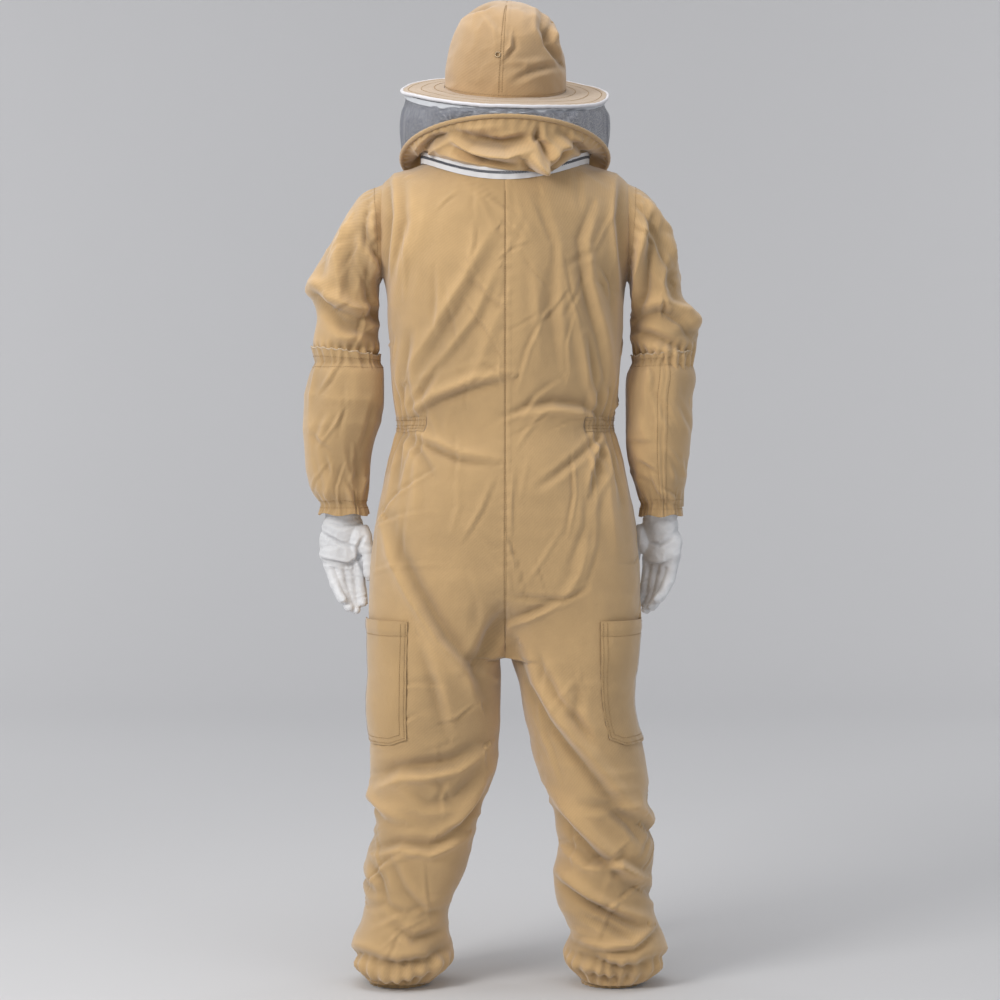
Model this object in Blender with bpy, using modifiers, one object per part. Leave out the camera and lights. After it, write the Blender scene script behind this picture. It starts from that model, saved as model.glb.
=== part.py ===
"""Beekeeping suit: a one-piece cotton coverall with a zip-on hat-and-veil hood and long gloves.

Metres, +Z up. The suit hangs as it is worn: +X is the wearer's right, +Y is the front, and Z = 0 is
the bottom of the trouser cuffs.
"""
import math

import bmesh
import bpy
from mathutils import Matrix, Vector

CLOTH = 0.004
LIGHT_CLOTH = 0.003
TAPE = 0.0015
SEAM = 0.0014
LEG_COLUMNS = 20
ARM_COLUMNS = 18
HAT_COLUMNS = 28
PANEL_COLUMNS = 8

# Joint axes, as points on the right-hand side of the suit.
SHOULDER = Vector((0.222, 0.0, 1.466))
ELBOW = Vector((0.290, 0.010, 1.165))
HIP = Vector((0.130, 0.0, 0.560))
KNEE = Vector((0.150, 0.0, 0.370))
HOOD_HINGE = Vector((0.0, -0.153, 1.474))

# Each ball-like joint has an outer edge and an inner edge, cut to two radii about the joint axis.
HIP_RADIUS = 0.140
KNEE_RADIUS = 0.122
ELBOW_RADIUS = 0.093
JOINT_GAP = 0.002

# Torso sections: roundness, half width, front y, back y, then height at front, side and back.
TORSO = (
    (2.6, 0.245, 0.125, -0.125, 0.612, 0.612, 0.612),
    (2.5, 0.246, 0.140, -0.136, 0.720, 0.720, 0.720),
    (2.5, 0.243, 0.150, -0.142, 0.790, 0.790, 0.790),
    (2.5, 0.237, 0.150, -0.145, 0.860, 0.860, 0.860),
    (2.4, 0.214, 0.150, -0.140, 0.950, 0.950, 0.950),
    (2.3, 0.194, 0.150, -0.130, 1.025, 1.025, 1.025),
    (2.4, 0.207, 0.150, -0.141, 1.110, 1.110, 1.110),
    (2.4, 0.215, 0.150, -0.150, 1.200, 1.200, 1.200),
    (2.4, 0.219, 0.150, -0.153, 1.262, 1.262, 1.262),
    (2.3, 0.241, 0.150, -0.155, 1.300, 1.360, 1.320),
    (2.2, 0.236, 0.150, -0.154, 1.335, 1.440, 1.375),
    (2.1, 0.198, 0.150, -0.152, 1.362, 1.476, 1.420),
    (2.0, 0.150, 0.150, -0.150, 1.389, 1.497, 1.455),
)
ZIP_HALF_GAP = 0.0025
WAIST_HEIGHTS = (1.012, 1.026, 1.040)
FRONT_ZIP = (0.765, 1.372)

# Armhole edge on the torso and the matching edge on the sleeve.
ARMHOLE_X = 0.2205
ARMHOLE_LOW = 1.264
ARMHOLE_HIGH = 1.468

# Sleeve and glove sections: outer x and z, inner x and z, middle y, half depth.
UPPER_SLEEVE = (
    (0.2240, 1.4640, 0.2245, 1.2920, 0.000, 0.084),
    (0.2580, 1.4450, 0.2275, 1.2830, 0.000, 0.084),
    (0.2920, 1.4000, 0.2275, 1.2720, 0.000, 0.080),
    (0.3220, 1.3500, 0.2275, 1.2580, 0.002, 0.075),
    (0.3460, 1.3000, 0.2275, 1.2400, 0.005, 0.069),
    (0.3530, 1.2620, 0.2275, 1.2220, 0.008, 0.065),
    (0.3530, 1.2150, 0.2275, 1.2050, 0.010, 0.063),
    (0.3500, 1.1700, 0.2300, 1.1700, 0.010, 0.062),
)
FORE_SLEEVE = (
    (0.3530, 1.2580, 0.2275, 1.2580, 0.010, 0.064),
    (0.3520, 1.2200, 0.2280, 1.2200, 0.010, 0.062),
    (0.3460, 1.1750, 0.2340, 1.1750, 0.010, 0.056),
    (0.3400, 1.1200, 0.2420, 1.1200, 0.010, 0.053),
    (0.3340, 1.0300, 0.2520, 1.0300, 0.013, 0.046),
    (0.3320, 0.9500, 0.2580, 0.9500, 0.017, 0.038),
    (0.3310, 0.9080, 0.2600, 0.9080, 0.020, 0.035),
)
SLEEVE_CUFF = (
    (0.3290, 0.9068, 0.2610, 0.9068, 0.020, 0.0330),
    (0.3280, 0.8800, 0.2620, 0.8800, 0.020, 0.0320),
)
GAUNTLET = (
    (0.3530, 1.1520, 0.2270, 1.1520, 0.010, 0.0640),
    (0.3505, 1.1330, 0.2295, 1.1330, 0.010, 0.0615),
    (0.3570, 1.1000, 0.2215, 1.1000, 0.011, 0.0680),
    (0.3580, 1.0500, 0.2210, 1.0500, 0.012, 0.0680),
    (0.3520, 0.9800, 0.2300, 0.9800, 0.014, 0.0600),
    (0.3470, 0.9200, 0.2390, 0.9200, 0.017, 0.0500),
    (0.3380, 0.8860, 0.2500, 0.8860, 0.020, 0.0400),
    (0.3390, 0.8670, 0.2490, 0.8670, 0.020, 0.0410),
)
GAUNTLET_TOP_ELASTIC = (
    (0.3527, 1.1390, 0.2273, 1.1390, 0.010, 0.0637),
    (0.3540, 1.1270, 0.2260, 1.1270, 0.010, 0.0646),
)
GAUNTLET_WRIST_ELASTIC = (
    (0.3420, 0.8900, 0.2460, 0.8900, 0.020, 0.0440),
    (0.3410, 0.8790, 0.2470, 0.8790, 0.020, 0.0430),
)

# Leg sections: height, inner x, outer x, half depth.
LEG = (
    (0.7020, 0.012, 0.2465, 0.128),
    (0.6400, 0.013, 0.2465, 0.127),
    (0.5980, 0.013, 0.2460, 0.125),
    (0.5500, 0.016, 0.2465, 0.121),
    (0.4700, 0.028, 0.2475, 0.1135),
    (0.4000, 0.046, 0.2500, 0.106),
    (0.3400, 0.062, 0.2550, 0.098),
    (0.2200, 0.082, 0.2670, 0.090),
    (0.1500, 0.098, 0.2720, 0.086),
    (0.0900, 0.107, 0.2790, 0.086),
    (0.0550, 0.109, 0.2820, 0.085),
    (0.0380, 0.122, 0.2700, 0.072),
    (0.0320, 0.141, 0.2520, 0.056),
)
LEG_ROUNDNESS = 2.3
CROTCH = 0.598
CUFF_HEIGHT = 0.031
CUFF_RADII = (0.053, 0.052)
CUFF_CENTRE = 0.195

# Tool pocket on each thigh and chest pocket, as angles round the section and heights.
TOOL_POCKET_ANGLES = (94, 162)
TOOL_POCKET_HEIGHTS = (0.452, 0.672)
CHEST_POCKET_ANGLES = (-48, -20)
CHEST_POCKET_HEIGHTS = (1.120, 1.250)

# Hood.
BRIM_CENTRE = Vector((0.0, 0.0, 1.634))
BRIM_TILT = math.radians(15.5)
BRIM_RADII = (0.1130, 0.1840)
CROWN = ((0.1115, 0.003), (0.1118, 0.035), (0.1030, 0.077), (0.0920, 0.106), (0.0760, 0.132),
         (0.0500, 0.150), (0.0250, 0.157), (0.0030, 0.159))
HOOP_CENTRE = Vector((0.0, 0.0, 1.508))
HOOP_TILT = math.radians(-18)
HOOP_RADIUS = 0.1885
VEIL_SEAM = 141.43
NECK_RADIUS = 0.150


def clear_scene():
    """Empty the scene."""
    for obj in list(bpy.data.objects):
        bpy.data.objects.remove(obj, do_unlink=True)


def make_collection(name):
    """A new collection in the scene."""
    collection = bpy.data.collections.new(name)
    bpy.context.scene.collection.children.link(collection)
    return collection


def make_material(name, colour, roughness, metallic=0.0):
    """A plain material."""
    material = bpy.data.materials.new(name)
    material.use_nodes = True
    shader = material.node_tree.nodes["Principled BSDF"]
    shader.inputs["Base Color"].default_value = (*colour, 1.0)
    shader.inputs["Roughness"].default_value = roughness
    shader.inputs["Metallic"].default_value = metallic
    return material


clear_scene()
SUIT = make_collection("beekeeping_suit")
CUTTERS = make_collection("cutters")
KHAKI = make_material("khaki_cotton", (0.46, 0.31, 0.16), 0.9)
POCKET_CLOTH = make_material("pocket_cotton", (0.42, 0.28, 0.14), 0.9)
ELASTIC = make_material("khaki_elastic", (0.38, 0.26, 0.13), 0.9)
LINING = make_material("white_trim", (0.80, 0.80, 0.80), 0.8)
TEETH = make_material("zip_teeth", (0.22, 0.23, 0.25), 0.4)
METAL = make_material("zip_metal", (0.55, 0.55, 0.56), 0.35, 1.0)
MESH = make_material("veil_mesh", (0.03, 0.03, 0.035), 0.7)
LEATHER = make_material("white_leather", (0.78, 0.78, 0.80), 0.55)


def add_object(name, points, faces, material, pivot=None):
    """A mesh object of world points, with its origin at the pivot."""
    pivot = Vector((0, 0, 0)) if pivot is None else Vector(pivot)
    mesh = bpy.data.meshes.new(name)
    mesh.from_pydata([tuple(Vector(p) - pivot) for p in points], [], faces)
    mesh.materials.append(material)
    obj = bpy.data.objects.new(name, mesh)
    obj.location = pivot
    SUIT.objects.link(obj)
    return obj


def add_cutter(name, points, faces):
    """A closed solid that only cuts others."""
    mesh = bpy.data.meshes.new(name)
    mesh.from_pydata(points, [], faces)
    solid = bmesh.new()
    solid.from_mesh(mesh)
    bmesh.ops.recalc_face_normals(solid, faces=solid.faces)
    solid.to_mesh(mesh)
    solid.free()
    obj = bpy.data.objects.new(name, mesh)
    obj.hide_render = True
    obj.display_type = "WIRE"
    CUTTERS.objects.link(obj)
    return obj


def grid_faces(rows, columns, closed, flipped=False):
    """Faces of a grid of points, row after row."""
    faces = []
    last = columns if closed else columns - 1
    for row in range(rows - 1):
        for column in range(last):
            following = (column + 1) % columns
            face = (row * columns + column, row * columns + following,
                    (row + 1) * columns + following, (row + 1) * columns + column)
            faces.append(face[::-1] if flipped else face)
    return faces


def thicken(obj, thickness, outward=False, even=True):
    """Give a surface its cloth thickness."""
    solid = obj.modifiers.new("thickness", "SOLIDIFY")
    solid.thickness = thickness
    solid.offset = 1.0 if outward else -1.0
    solid.use_even_offset = even
    solid.use_rim = True


def cloth(name, rows, material, thickness=CLOTH, closed=False, flipped=False, pivot=None, outward=False):
    """A sheet through rows of points. Rows run up, and columns run with the front turning to +X."""
    points = [point for row in rows for point in row]
    faces = grid_faces(len(rows), len(rows[0]), closed, flipped)
    obj = add_object(name, points, faces, material, pivot)
    thicken(obj, thickness, outward)
    return obj


def cut(obj, cutter):
    """Cut one solid out of another."""
    boolean = obj.modifiers.new("cut", "BOOLEAN")
    boolean.operation = "DIFFERENCE"
    boolean.solver = "EXACT"
    boolean.object = cutter


def ease(share):
    """A smooth step from 0 to 1."""
    share = min(1.0, max(0.0, share))
    return share * share * (3 - 2 * share)


def signed_power(value, power):
    """A power that keeps the sign."""
    return math.copysign(abs(value) ** power, value)


def height_round(angle, front, side, back):
    """Height of a ring that dips at the front and the back, at an angle from the front."""
    angle = abs((angle + 180) % 360 - 180)
    if angle <= 90:
        return front + (side - front) * ease((angle - 45) / 45)
    return back + (side - back) * math.sin(math.radians(angle)) ** 2


def torso_point(section, angle):
    """A point on a torso section. The angle runs from the front towards +X."""
    roundness, half_width, front, back, high_front, high_side, high_back = section
    turn = math.radians(angle)
    power = 2 / roundness
    return Vector((half_width * signed_power(math.sin(turn), power),
                   (front + back) / 2 + (front - back) / 2 * signed_power(math.cos(turn), power),
                   height_round(angle, high_front, high_side, high_back)))


def torso_at(angle, height):
    """A point on the torso at a height below the armholes."""
    for low, high in zip(TORSO, TORSO[1:]):
        if low[4] <= height <= high[4]:
            share = (height - low[4]) / (high[4] - low[4])
            return torso_point(low, angle).lerp(torso_point(high, angle), share)
    return torso_point(TORSO[0], angle)


def leg_section(height):
    """Inner x, outer x and half depth of the leg at a height."""
    for high, low in zip(LEG, LEG[1:]):
        if low[0] <= height <= high[0]:
            share = (height - low[0]) / (high[0] - low[0])
            return [a + (b - a) * share for a, b in zip(low[1:], high[1:])]
    return LEG[0][1:] if height > LEG[0][0] else LEG[-1][1:]


def leg_at(side, angle, height, swell=0.0):
    """A point on the leg. Angle 0 is the front and 90 the outer side; swell moves it outwards."""
    inner, outer, depth = leg_section(height)
    turn = math.radians(angle)
    power = 2 / LEG_ROUNDNESS
    centre = (inner + outer) / 2
    half_width = (outer - inner) / 2 + swell
    return Vector((side * (centre + half_width * signed_power(math.sin(turn), power)),
                   (depth + swell) * signed_power(math.cos(turn), power), height))


def sleeve_ring(side, section):
    """A ring of points round the arm. Angle 0 is the front and 90 the outer side."""
    outer_x, outer_z, inner_x, inner_z, middle_y, half_depth = section
    outer = Vector((outer_x, middle_y, outer_z))
    inner = Vector((inner_x, middle_y, inner_z))
    ring = []
    for column in range(ARM_COLUMNS):
        turn = 2 * math.pi * column / ARM_COLUMNS
        point = (outer + inner) / 2 + (outer - inner) / 2 * math.sin(turn)
        point.y += half_depth * math.cos(turn)
        ring.append(Vector((side * point.x, point.y, point.z)))
    return ring


def span(first, last, count):
    """Evenly spaced values."""
    return [first + (last - first) * step / (count - 1) for step in range(count)]


def box_cutter(name, low, high):
    """A box that cuts."""
    (x0, y0, z0), (x1, y1, z1) = low, high
    points = [(x, y, z) for z in (z0, z1) for y in (y0, y1) for x in (x0, x1)]
    faces = [(0, 1, 3, 2), (4, 6, 7, 5), (0, 4, 5, 1), (2, 3, 7, 6), (0, 2, 6, 4), (1, 5, 7, 3)]
    return add_cutter(name, points, faces)


def cylinder_cutter(name, centre, radius, x_range):
    """A cylinder along X that cuts."""
    count = 48
    points = []
    for x in x_range:
        for step in range(count):
            turn = 2 * math.pi * step / count
            points.append((x, centre[1] + radius * math.cos(turn), centre[2] + radius * math.sin(turn)))
    faces = grid_faces(2, count, True)
    faces.append(tuple(range(count))[::-1])
    faces.append(tuple(range(count, 2 * count)))
    return add_cutter(name, points, faces)


def arch_cutter(name, centre, radius, x_range, top):
    """A block over an axis along X, hollowed from below to a radius, that cuts."""
    count = 25
    reach = 0.3
    under = [(centre[1] + reach, centre[2])]
    over = [(centre[1] + reach, top)]
    for turn in span(0, math.pi, count):
        under.append((centre[1] + radius * math.cos(turn), centre[2] + radius * math.sin(turn)))
        over.append((centre[1] + radius * math.cos(turn), top))
    under.append((centre[1] - reach, centre[2]))
    over.append((centre[1] - reach, top))
    columns = len(under)
    points = [(x, y, z) for x in x_range for line in (under, over) for y, z in line]
    faces = []
    for end in (0, 2 * columns):
        for step in range(columns - 1):
            faces.append((end + step, end + step + 1, end + columns + step + 1, end + columns + step))
    for line in (0, columns):
        for step in range(columns - 1):
            low = line + step
            faces.append((low, low + 1, low + 1 + 2 * columns, low + 2 * columns))
    for edge in (0, columns - 1):
        faces.append((edge, edge + columns, edge + 3 * columns, edge + 2 * columns))
    return add_cutter(name, points, faces)


def build_torso():
    """Four body panels, cut for the armholes and for the legs."""
    hip = cylinder_cutter("hip_clearance", HIP, HIP_RADIUS + JOINT_GAP, (-0.3, 0.3))
    for side, word in ((1, "right"), (-1, "left")):
        inner, outer = sorted((side * ARMHOLE_X, side * 0.33))
        armhole = box_cutter("armhole_" + word, (inner, -0.2, ARMHOLE_LOW), (outer, 0.2, ARMHOLE_HIGH))
        for panel, start, end in (("front", 0, 90), ("back", 90, 180)):
            rows = []
            for section in TORSO:
                row = [torso_point(section, side * angle) for angle in span(start, end, PANEL_COLUMNS)]
                middle_edge, side_edge = (row[0], row[-1]) if panel == "front" else (row[-1], row[0])
                middle_edge.x = side * (ZIP_HALF_GAP if panel == "front" else SEAM)
                side_edge.y += SEAM if panel == "front" else -SEAM
                rows.append(row)
            obj = cloth(panel + "_panel_" + word, rows, KHAKI, flipped=side > 0)
            cut(obj, armhole)
            cut(obj, hip)


def build_gusset():
    """The saddle of cloth between the two legs."""
    rows = []
    for y in span(-0.122, 0.122, 9):
        z = 0.588 + 0.026 * (y / 0.122) ** 2
        rows.append([(x, y, z) for x in (-0.0105, 0.0, 0.0105)])
    cloth("crotch_gusset", rows, KHAKI, LIGHT_CLOTH)


def build_waist():
    """Elastic casings on the sides of the waist."""
    for side, word in ((1, "right"), (-1, "left")):
        rows = []
        for height in WAIST_HEIGHTS:
            row = []
            for angle in span(48, 138, 13):
                point = torso_at(side * angle, height)
                away = Vector((point.x, point.y, 0)).normalized()
                row.append(point + away * 0.0012)
            rows.append(row)
        cloth("waist_elastic_" + word, rows, ELASTIC, 0.0025, flipped=side > 0, outward=True)


def ring_rows(radius, rises, first, last, count):
    """Rows of a strip that follows the neck edge, at rises above it."""
    neck = TORSO[-1]
    rows = []
    for rise in rises:
        row = []
        for angle in span(first, last, count):
            turn = math.radians(angle)
            z = height_round(angle, neck[4], neck[5], neck[6]) + rise
            row.append((radius * math.sin(turn), radius * math.cos(turn), z))
        rows.append(row)
    return rows


def closed_rows(radius, rises):
    """Rows of a full ring that follows the neck edge."""
    step = 360 / HAT_COLUMNS
    return ring_rows(radius, rises, 0, 360 - step, HAT_COLUMNS)


def build_neck():
    """Lower tape and teeth of the zip that holds the hood."""
    cloth("neck_zip_tape_lower", closed_rows(NECK_RADIUS + 0.001, (0.0015, 0.0115)), LINING, TAPE,
          closed=True, flipped=True, outward=True)
    cloth("neck_zip_teeth", closed_rows(NECK_RADIUS + 0.001, (0.0130, 0.0165)), TEETH, 0.0025,
          closed=True, flipped=True, outward=True)


def build_front_zip():
    """Tapes and teeth of the straight front zip."""
    low, high = FRONT_ZIP
    face = 0.1504
    heights = span(low, high, 2)
    for side, word in ((1, "right"), (-1, "left")):
        rows = [[(side * x, face, z) for x in (0.0006, 0.0130)] for z in heights]
        cloth("front_zip_tape_" + word, rows, LINING, 0.0012, flipped=side > 0, outward=True)
    rows = [[(x, face + 0.0016, z) for x in (-0.0025, 0.0025)] for z in heights]
    cloth("front_zip_teeth", rows, TEETH, 0.0016, flipped=True, outward=True)


def block(name, centre, size, turn, material, pivot):
    """A small block, turned about the vertical, with trimmed long edges."""
    half = [value / 2 for value in size]
    spin = Matrix.Rotation(turn, 3, "Z")
    points = []
    for z in (-half[2], half[2]):
        for x, y in ((-1, -1), (1, -1), (1, 0.3), (0.5, 1), (-0.5, 1), (-1, 0.3)):
            points.append(Vector(centre) + spin @ Vector((x * half[0], y * half[1], z)))
    faces = grid_faces(2, 6, True)
    faces.append((5, 4, 3, 2, 1, 0))
    faces.append((6, 7, 8, 9, 10, 11))
    return add_object(name, points, faces, material, pivot)


def pull_tab(name, hinge, width, length, turn):
    """A pull: a round eye on the hinge axis with a flat tail below it."""
    eye = 0.0014
    half = 0.0006
    outline = []
    for step in span(-60, 240, 11):
        angle = math.radians(step)
        outline.append((eye * math.cos(angle), eye * math.sin(angle)))
    outline.append((-half, -length))
    outline.append((half, -length))
    spin = Matrix.Rotation(turn, 3, "Z")
    points = []
    for x in (-width / 2, width / 2):
        for y, z in outline:
            points.append(Vector(hinge) + spin @ Vector((x, y, z)))
    count = len(outline)
    faces = grid_faces(2, count, True)
    faces.append(tuple(range(count))[::-1])
    faces.append(tuple(range(count, 2 * count)))
    return add_object(name, points, faces, METAL, hinge)


def build_sliders():
    """The zip sliders and their pulls."""
    slider = (0.0, 0.1562, 1.362)
    block("front_zip_slider", slider, (0.010, 0.0040, 0.016), 0.0, METAL, slider)
    pull_tab("front_zip_pull", (0.0, 0.1602, 1.364), 0.006, 0.026, 0.0)
    ride = 0.1568
    height = TORSO[-1][4] + 0.0148
    for side, word in ((1, "right"), (-1, "left")):
        angle = side * math.radians(3.4)
        centre = (ride * math.sin(angle), ride * math.cos(angle), height)
        block("neck_zip_slider_" + word, centre, (0.009, 0.0040, 0.013), -angle, METAL, centre)
        reach = ride + 0.0040
        hinge = (reach * math.sin(angle), reach * math.cos(angle), height + 0.002)
        pull_tab("neck_zip_pull_" + word, hinge, 0.005, 0.024, -angle)


def patch(name, surface, angles, heights, bulge, material, flipped, pivot=None):
    """A patch pocket: sewn down at its bottom and sides, standing off in the middle and at the top."""
    columns, rows = 7, 5
    sheet = []
    for row, height in enumerate(span(*heights, rows)):
        line = []
        for column, angle in enumerate(span(*angles, columns)):
            rise = min(1.0, row / 1.5) * math.sin(math.pi * column / (columns - 1)) ** 0.6
            line.append(surface(angle, height, 0.0008 + bulge * rise))
        sheet.append(line)
    return cloth(name, sheet, material, 0.0022, flipped=flipped, pivot=pivot, outward=True)


def build_chest_pocket():
    """A patch pocket on the wearer's left chest."""
    def surface(angle, height, swell):
        point = torso_at(angle, height)
        away = Vector((point.x, point.y * 2, 0)).normalized()
        return point + away * swell
    patch("chest_pocket", surface, CHEST_POCKET_ANGLES, CHEST_POCKET_HEIGHTS, 0.012, POCKET_CLOTH, True)


def build_arm(side, word):
    """Sleeve in two parts, its cuff, and the glove with its gauntlet."""
    elbow = Vector((side * ELBOW.x, ELBOW.y, ELBOW.z))
    shoulder = Vector((side * SHOULDER.x, SHOULDER.y, SHOULDER.z))
    reach = sorted((side * 0.2, side * 0.4))
    flipped = side < 0

    def tube(name, sections, material, thickness, pivot, outward=False):
        rows = [sleeve_ring(side, section) for section in sections]
        return cloth(name, rows, material, thickness, closed=True, flipped=flipped, pivot=pivot,
                     outward=outward)

    upper = tube("upper_sleeve_" + word, UPPER_SLEEVE, KHAKI, CLOTH, shoulder)
    cut(upper, cylinder_cutter("elbow_clearance_" + word, elbow, ELBOW_RADIUS + JOINT_GAP, reach))
    fore = tube("fore_sleeve_" + word, FORE_SLEEVE, KHAKI, LIGHT_CLOTH, elbow)
    cut(fore, arch_cutter("elbow_top_" + word, elbow, ELBOW_RADIUS, reach, 1.36))
    tube("sleeve_cuff_" + word, SLEEVE_CUFF, ELASTIC, LIGHT_CLOTH, elbow)
    glove_pivot = Vector((side * 0.294, 0.020, 0.866))
    tube("gauntlet_" + word, GAUNTLET, KHAKI, LIGHT_CLOTH, glove_pivot)
    tube("gauntlet_top_elastic_" + word, GAUNTLET_TOP_ELASTIC, ELASTIC, 0.002, glove_pivot, True)
    tube("gauntlet_wrist_elastic_" + word, GAUNTLET_WRIST_ELASTIC, ELASTIC, 0.002, glove_pivot, True)
    build_hand(side, word, glove_pivot)


def build_hand(side, word, pivot):
    """The leather hand of the glove: a palm, four fingers and a thumb, open at the wrist."""
    centre_x, centre_y = 0.300, 0.026
    edges = (-1.0, -0.5, 0.0, 0.5, 1.0)
    palm = ((0.7850, 0.0410, 0.0135), (0.8130, 0.0425, 0.0165), (0.8400, 0.0410, 0.0200),
            (0.8630, 0.0400, 0.0300))
    points = []
    faces = []

    def add_ring(height, half_width, half_depth):
        first = len(points)
        for front in (1, -1):
            for edge in (edges if front > 0 else edges[::-1]):
                depth = half_depth * (1.0 - 0.45 * edge * edge)
                points.append((centre_x + edge * half_width, centre_y + front * depth, height))
        return first

    rings = [add_ring(*row) for row in palm]
    thumb_face = None
    for low, high in zip(rings, rings[1:]):
        for column in range(10):
            following = (column + 1) % 10
            face = (low + column, low + following, high + following, high + column)
            if column == 0 and low == rings[1]:
                thumb_face = face
                continue
            faces.append(face[::-1])

    def add_tube(base, steps):
        """Extrude a four-point base through offset steps and close its tip."""
        loop = list(base)
        middle = sum((Vector(points[i]) for i in base), Vector()) / 4
        spread = [Vector(points[i]) - middle for i in base]
        for offset, scale, lean in steps:
            ring = []
            for arm in spread:
                ring.append(len(points))
                tilt = Matrix.Rotation(math.radians(lean), 3, "X")
                points.append(tuple(middle + Vector(offset) + tilt @ arm * scale))
            for corner in range(4):
                following = (corner + 1) % 4
                faces.append((loop[corner], loop[following], ring[following], ring[corner]))
            loop = ring
        faces.append(tuple(loop))

    low = rings[0]
    for finger in range(4):
        lengths = (0.078, 0.092, 0.097, 0.086)
        length = lengths[finger]
        base = (low + finger, low + finger + 1, low + 8 - finger, low + 9 - finger)
        lean = 0.003 * (finger - 1.5)
        steps = [((lean * share, 0.004 * share, -length * share), 0.74 - 0.12 * share, 0)
                 for share in (0.10, 0.55, 0.96)]
        add_tube(base, steps)
    thumb = (thumb_face[1], thumb_face[0], thumb_face[3], thumb_face[2])
    add_tube(thumb, [((0.0, 0.010, -0.003), 0.80, -20), ((0.0, 0.021, -0.015), 0.70, -55),
                     ((0.0, 0.026, -0.036), 0.60, -80)])
    points[:] = [(side * x, y, z) for x, y, z in points]
    if side < 0:
        faces[:] = [face[::-1] for face in faces]
    obj = add_object("leather_glove_" + word, points, faces, LEATHER, pivot)
    thicken(obj, 0.0016, even=False)


def build_leg(side, word):
    """Trouser leg in two parts, with its pocket and its cuff."""
    hip = Vector((side * HIP.x, HIP.y, HIP.z))
    knee = Vector((side * KNEE.x, KNEE.y, KNEE.z))
    reach = sorted((side * 0.0, side * 0.4))
    angles = span(0, 360 - 360 / LEG_COLUMNS, LEG_COLUMNS)
    flipped = side < 0

    def leg_rows(heights):
        return [[leg_at(side, angle, height) for angle in angles] for height in heights]

    heights = [row[0] for row in LEG]
    thigh_heights = [height for height in heights if height > KNEE.z] + [KNEE.z + 0.01]
    shin_heights = [0.500] + [height for height in heights if height < 0.46]
    thigh = cloth("thigh_" + word, leg_rows(thigh_heights), KHAKI, closed=True, flipped=flipped, pivot=hip)
    cut(thigh, arch_cutter("hip_top_" + word, HIP, HIP_RADIUS, reach, 0.85))
    inner, outer = sorted((side * -0.01, side * 0.085))
    cut(thigh, box_cutter("crotch_top_" + word, (inner, -0.2, CROTCH), (outer, 0.2, 0.8)))
    cut(thigh, cylinder_cutter("knee_clearance_" + word, KNEE, KNEE_RADIUS + JOINT_GAP, reach))
    shin = cloth("shin_" + word, leg_rows(shin_heights), KHAKI, closed=True, flipped=flipped, pivot=knee)
    cut(shin, arch_cutter("knee_top_" + word, KNEE, KNEE_RADIUS, reach, 0.66))

    def surface(angle, height, swell):
        return leg_at(side, angle, height, swell)
    patch("tool_pocket_" + word, surface, TOOL_POCKET_ANGLES, TOOL_POCKET_HEIGHTS, 0.012,
          POCKET_CLOTH, side > 0, hip)
    rows = []
    for height in (0.0, CUFF_HEIGHT / 2, CUFF_HEIGHT):
        row = []
        for angle in angles:
            turn = math.radians(angle)
            row.append((side * (CUFF_CENTRE + CUFF_RADII[0] * math.sin(turn)),
                        CUFF_RADII[1] * math.cos(turn), height))
        rows.append(row)
    cloth("trouser_cuff_" + word, rows, ELASTIC, LIGHT_CLOTH, closed=True, flipped=side > 0, pivot=knee)


def tilted(radius, angle, rise, centre, tilt):
    """A point on a tilted circle. The angle runs from the front towards +X."""
    turn = math.radians(angle)
    local = Vector((radius * math.sin(turn), radius * math.cos(turn), rise))
    return centre + Matrix.Rotation(tilt, 3, "X") @ local


def hat_rows(profile, first, last, count):
    """Rows of a hat surface through a profile of radius and rise."""
    return [[tilted(radius, angle, rise, BRIM_CENTRE, BRIM_TILT) for angle in span(first, last, count)]
            for radius, rise in profile]


def tube_ring(name, radius, tube, rise, centre, tilt, material):
    """A closed tube ring on a tilted circle."""
    sides = 6
    rows = []
    for side in range(sides + 1):
        turn = 2 * math.pi * (side % sides) / sides
        rows.append([tilted(radius + tube * math.cos(turn), angle, rise + tube * math.sin(turn),
                            centre, tilt)
                     for angle in span(0, 360 - 360 / HAT_COLUMNS, HAT_COLUMNS)])
    points = [point for row in rows[:-1] for point in row]
    faces = []
    for face in grid_faces(sides + 1, HAT_COLUMNS, True, flipped=True):
        faces.append(tuple(index % (sides * HAT_COLUMNS) for index in face))
    return add_object(name, points, faces, material, HOOD_HINGE)


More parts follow.
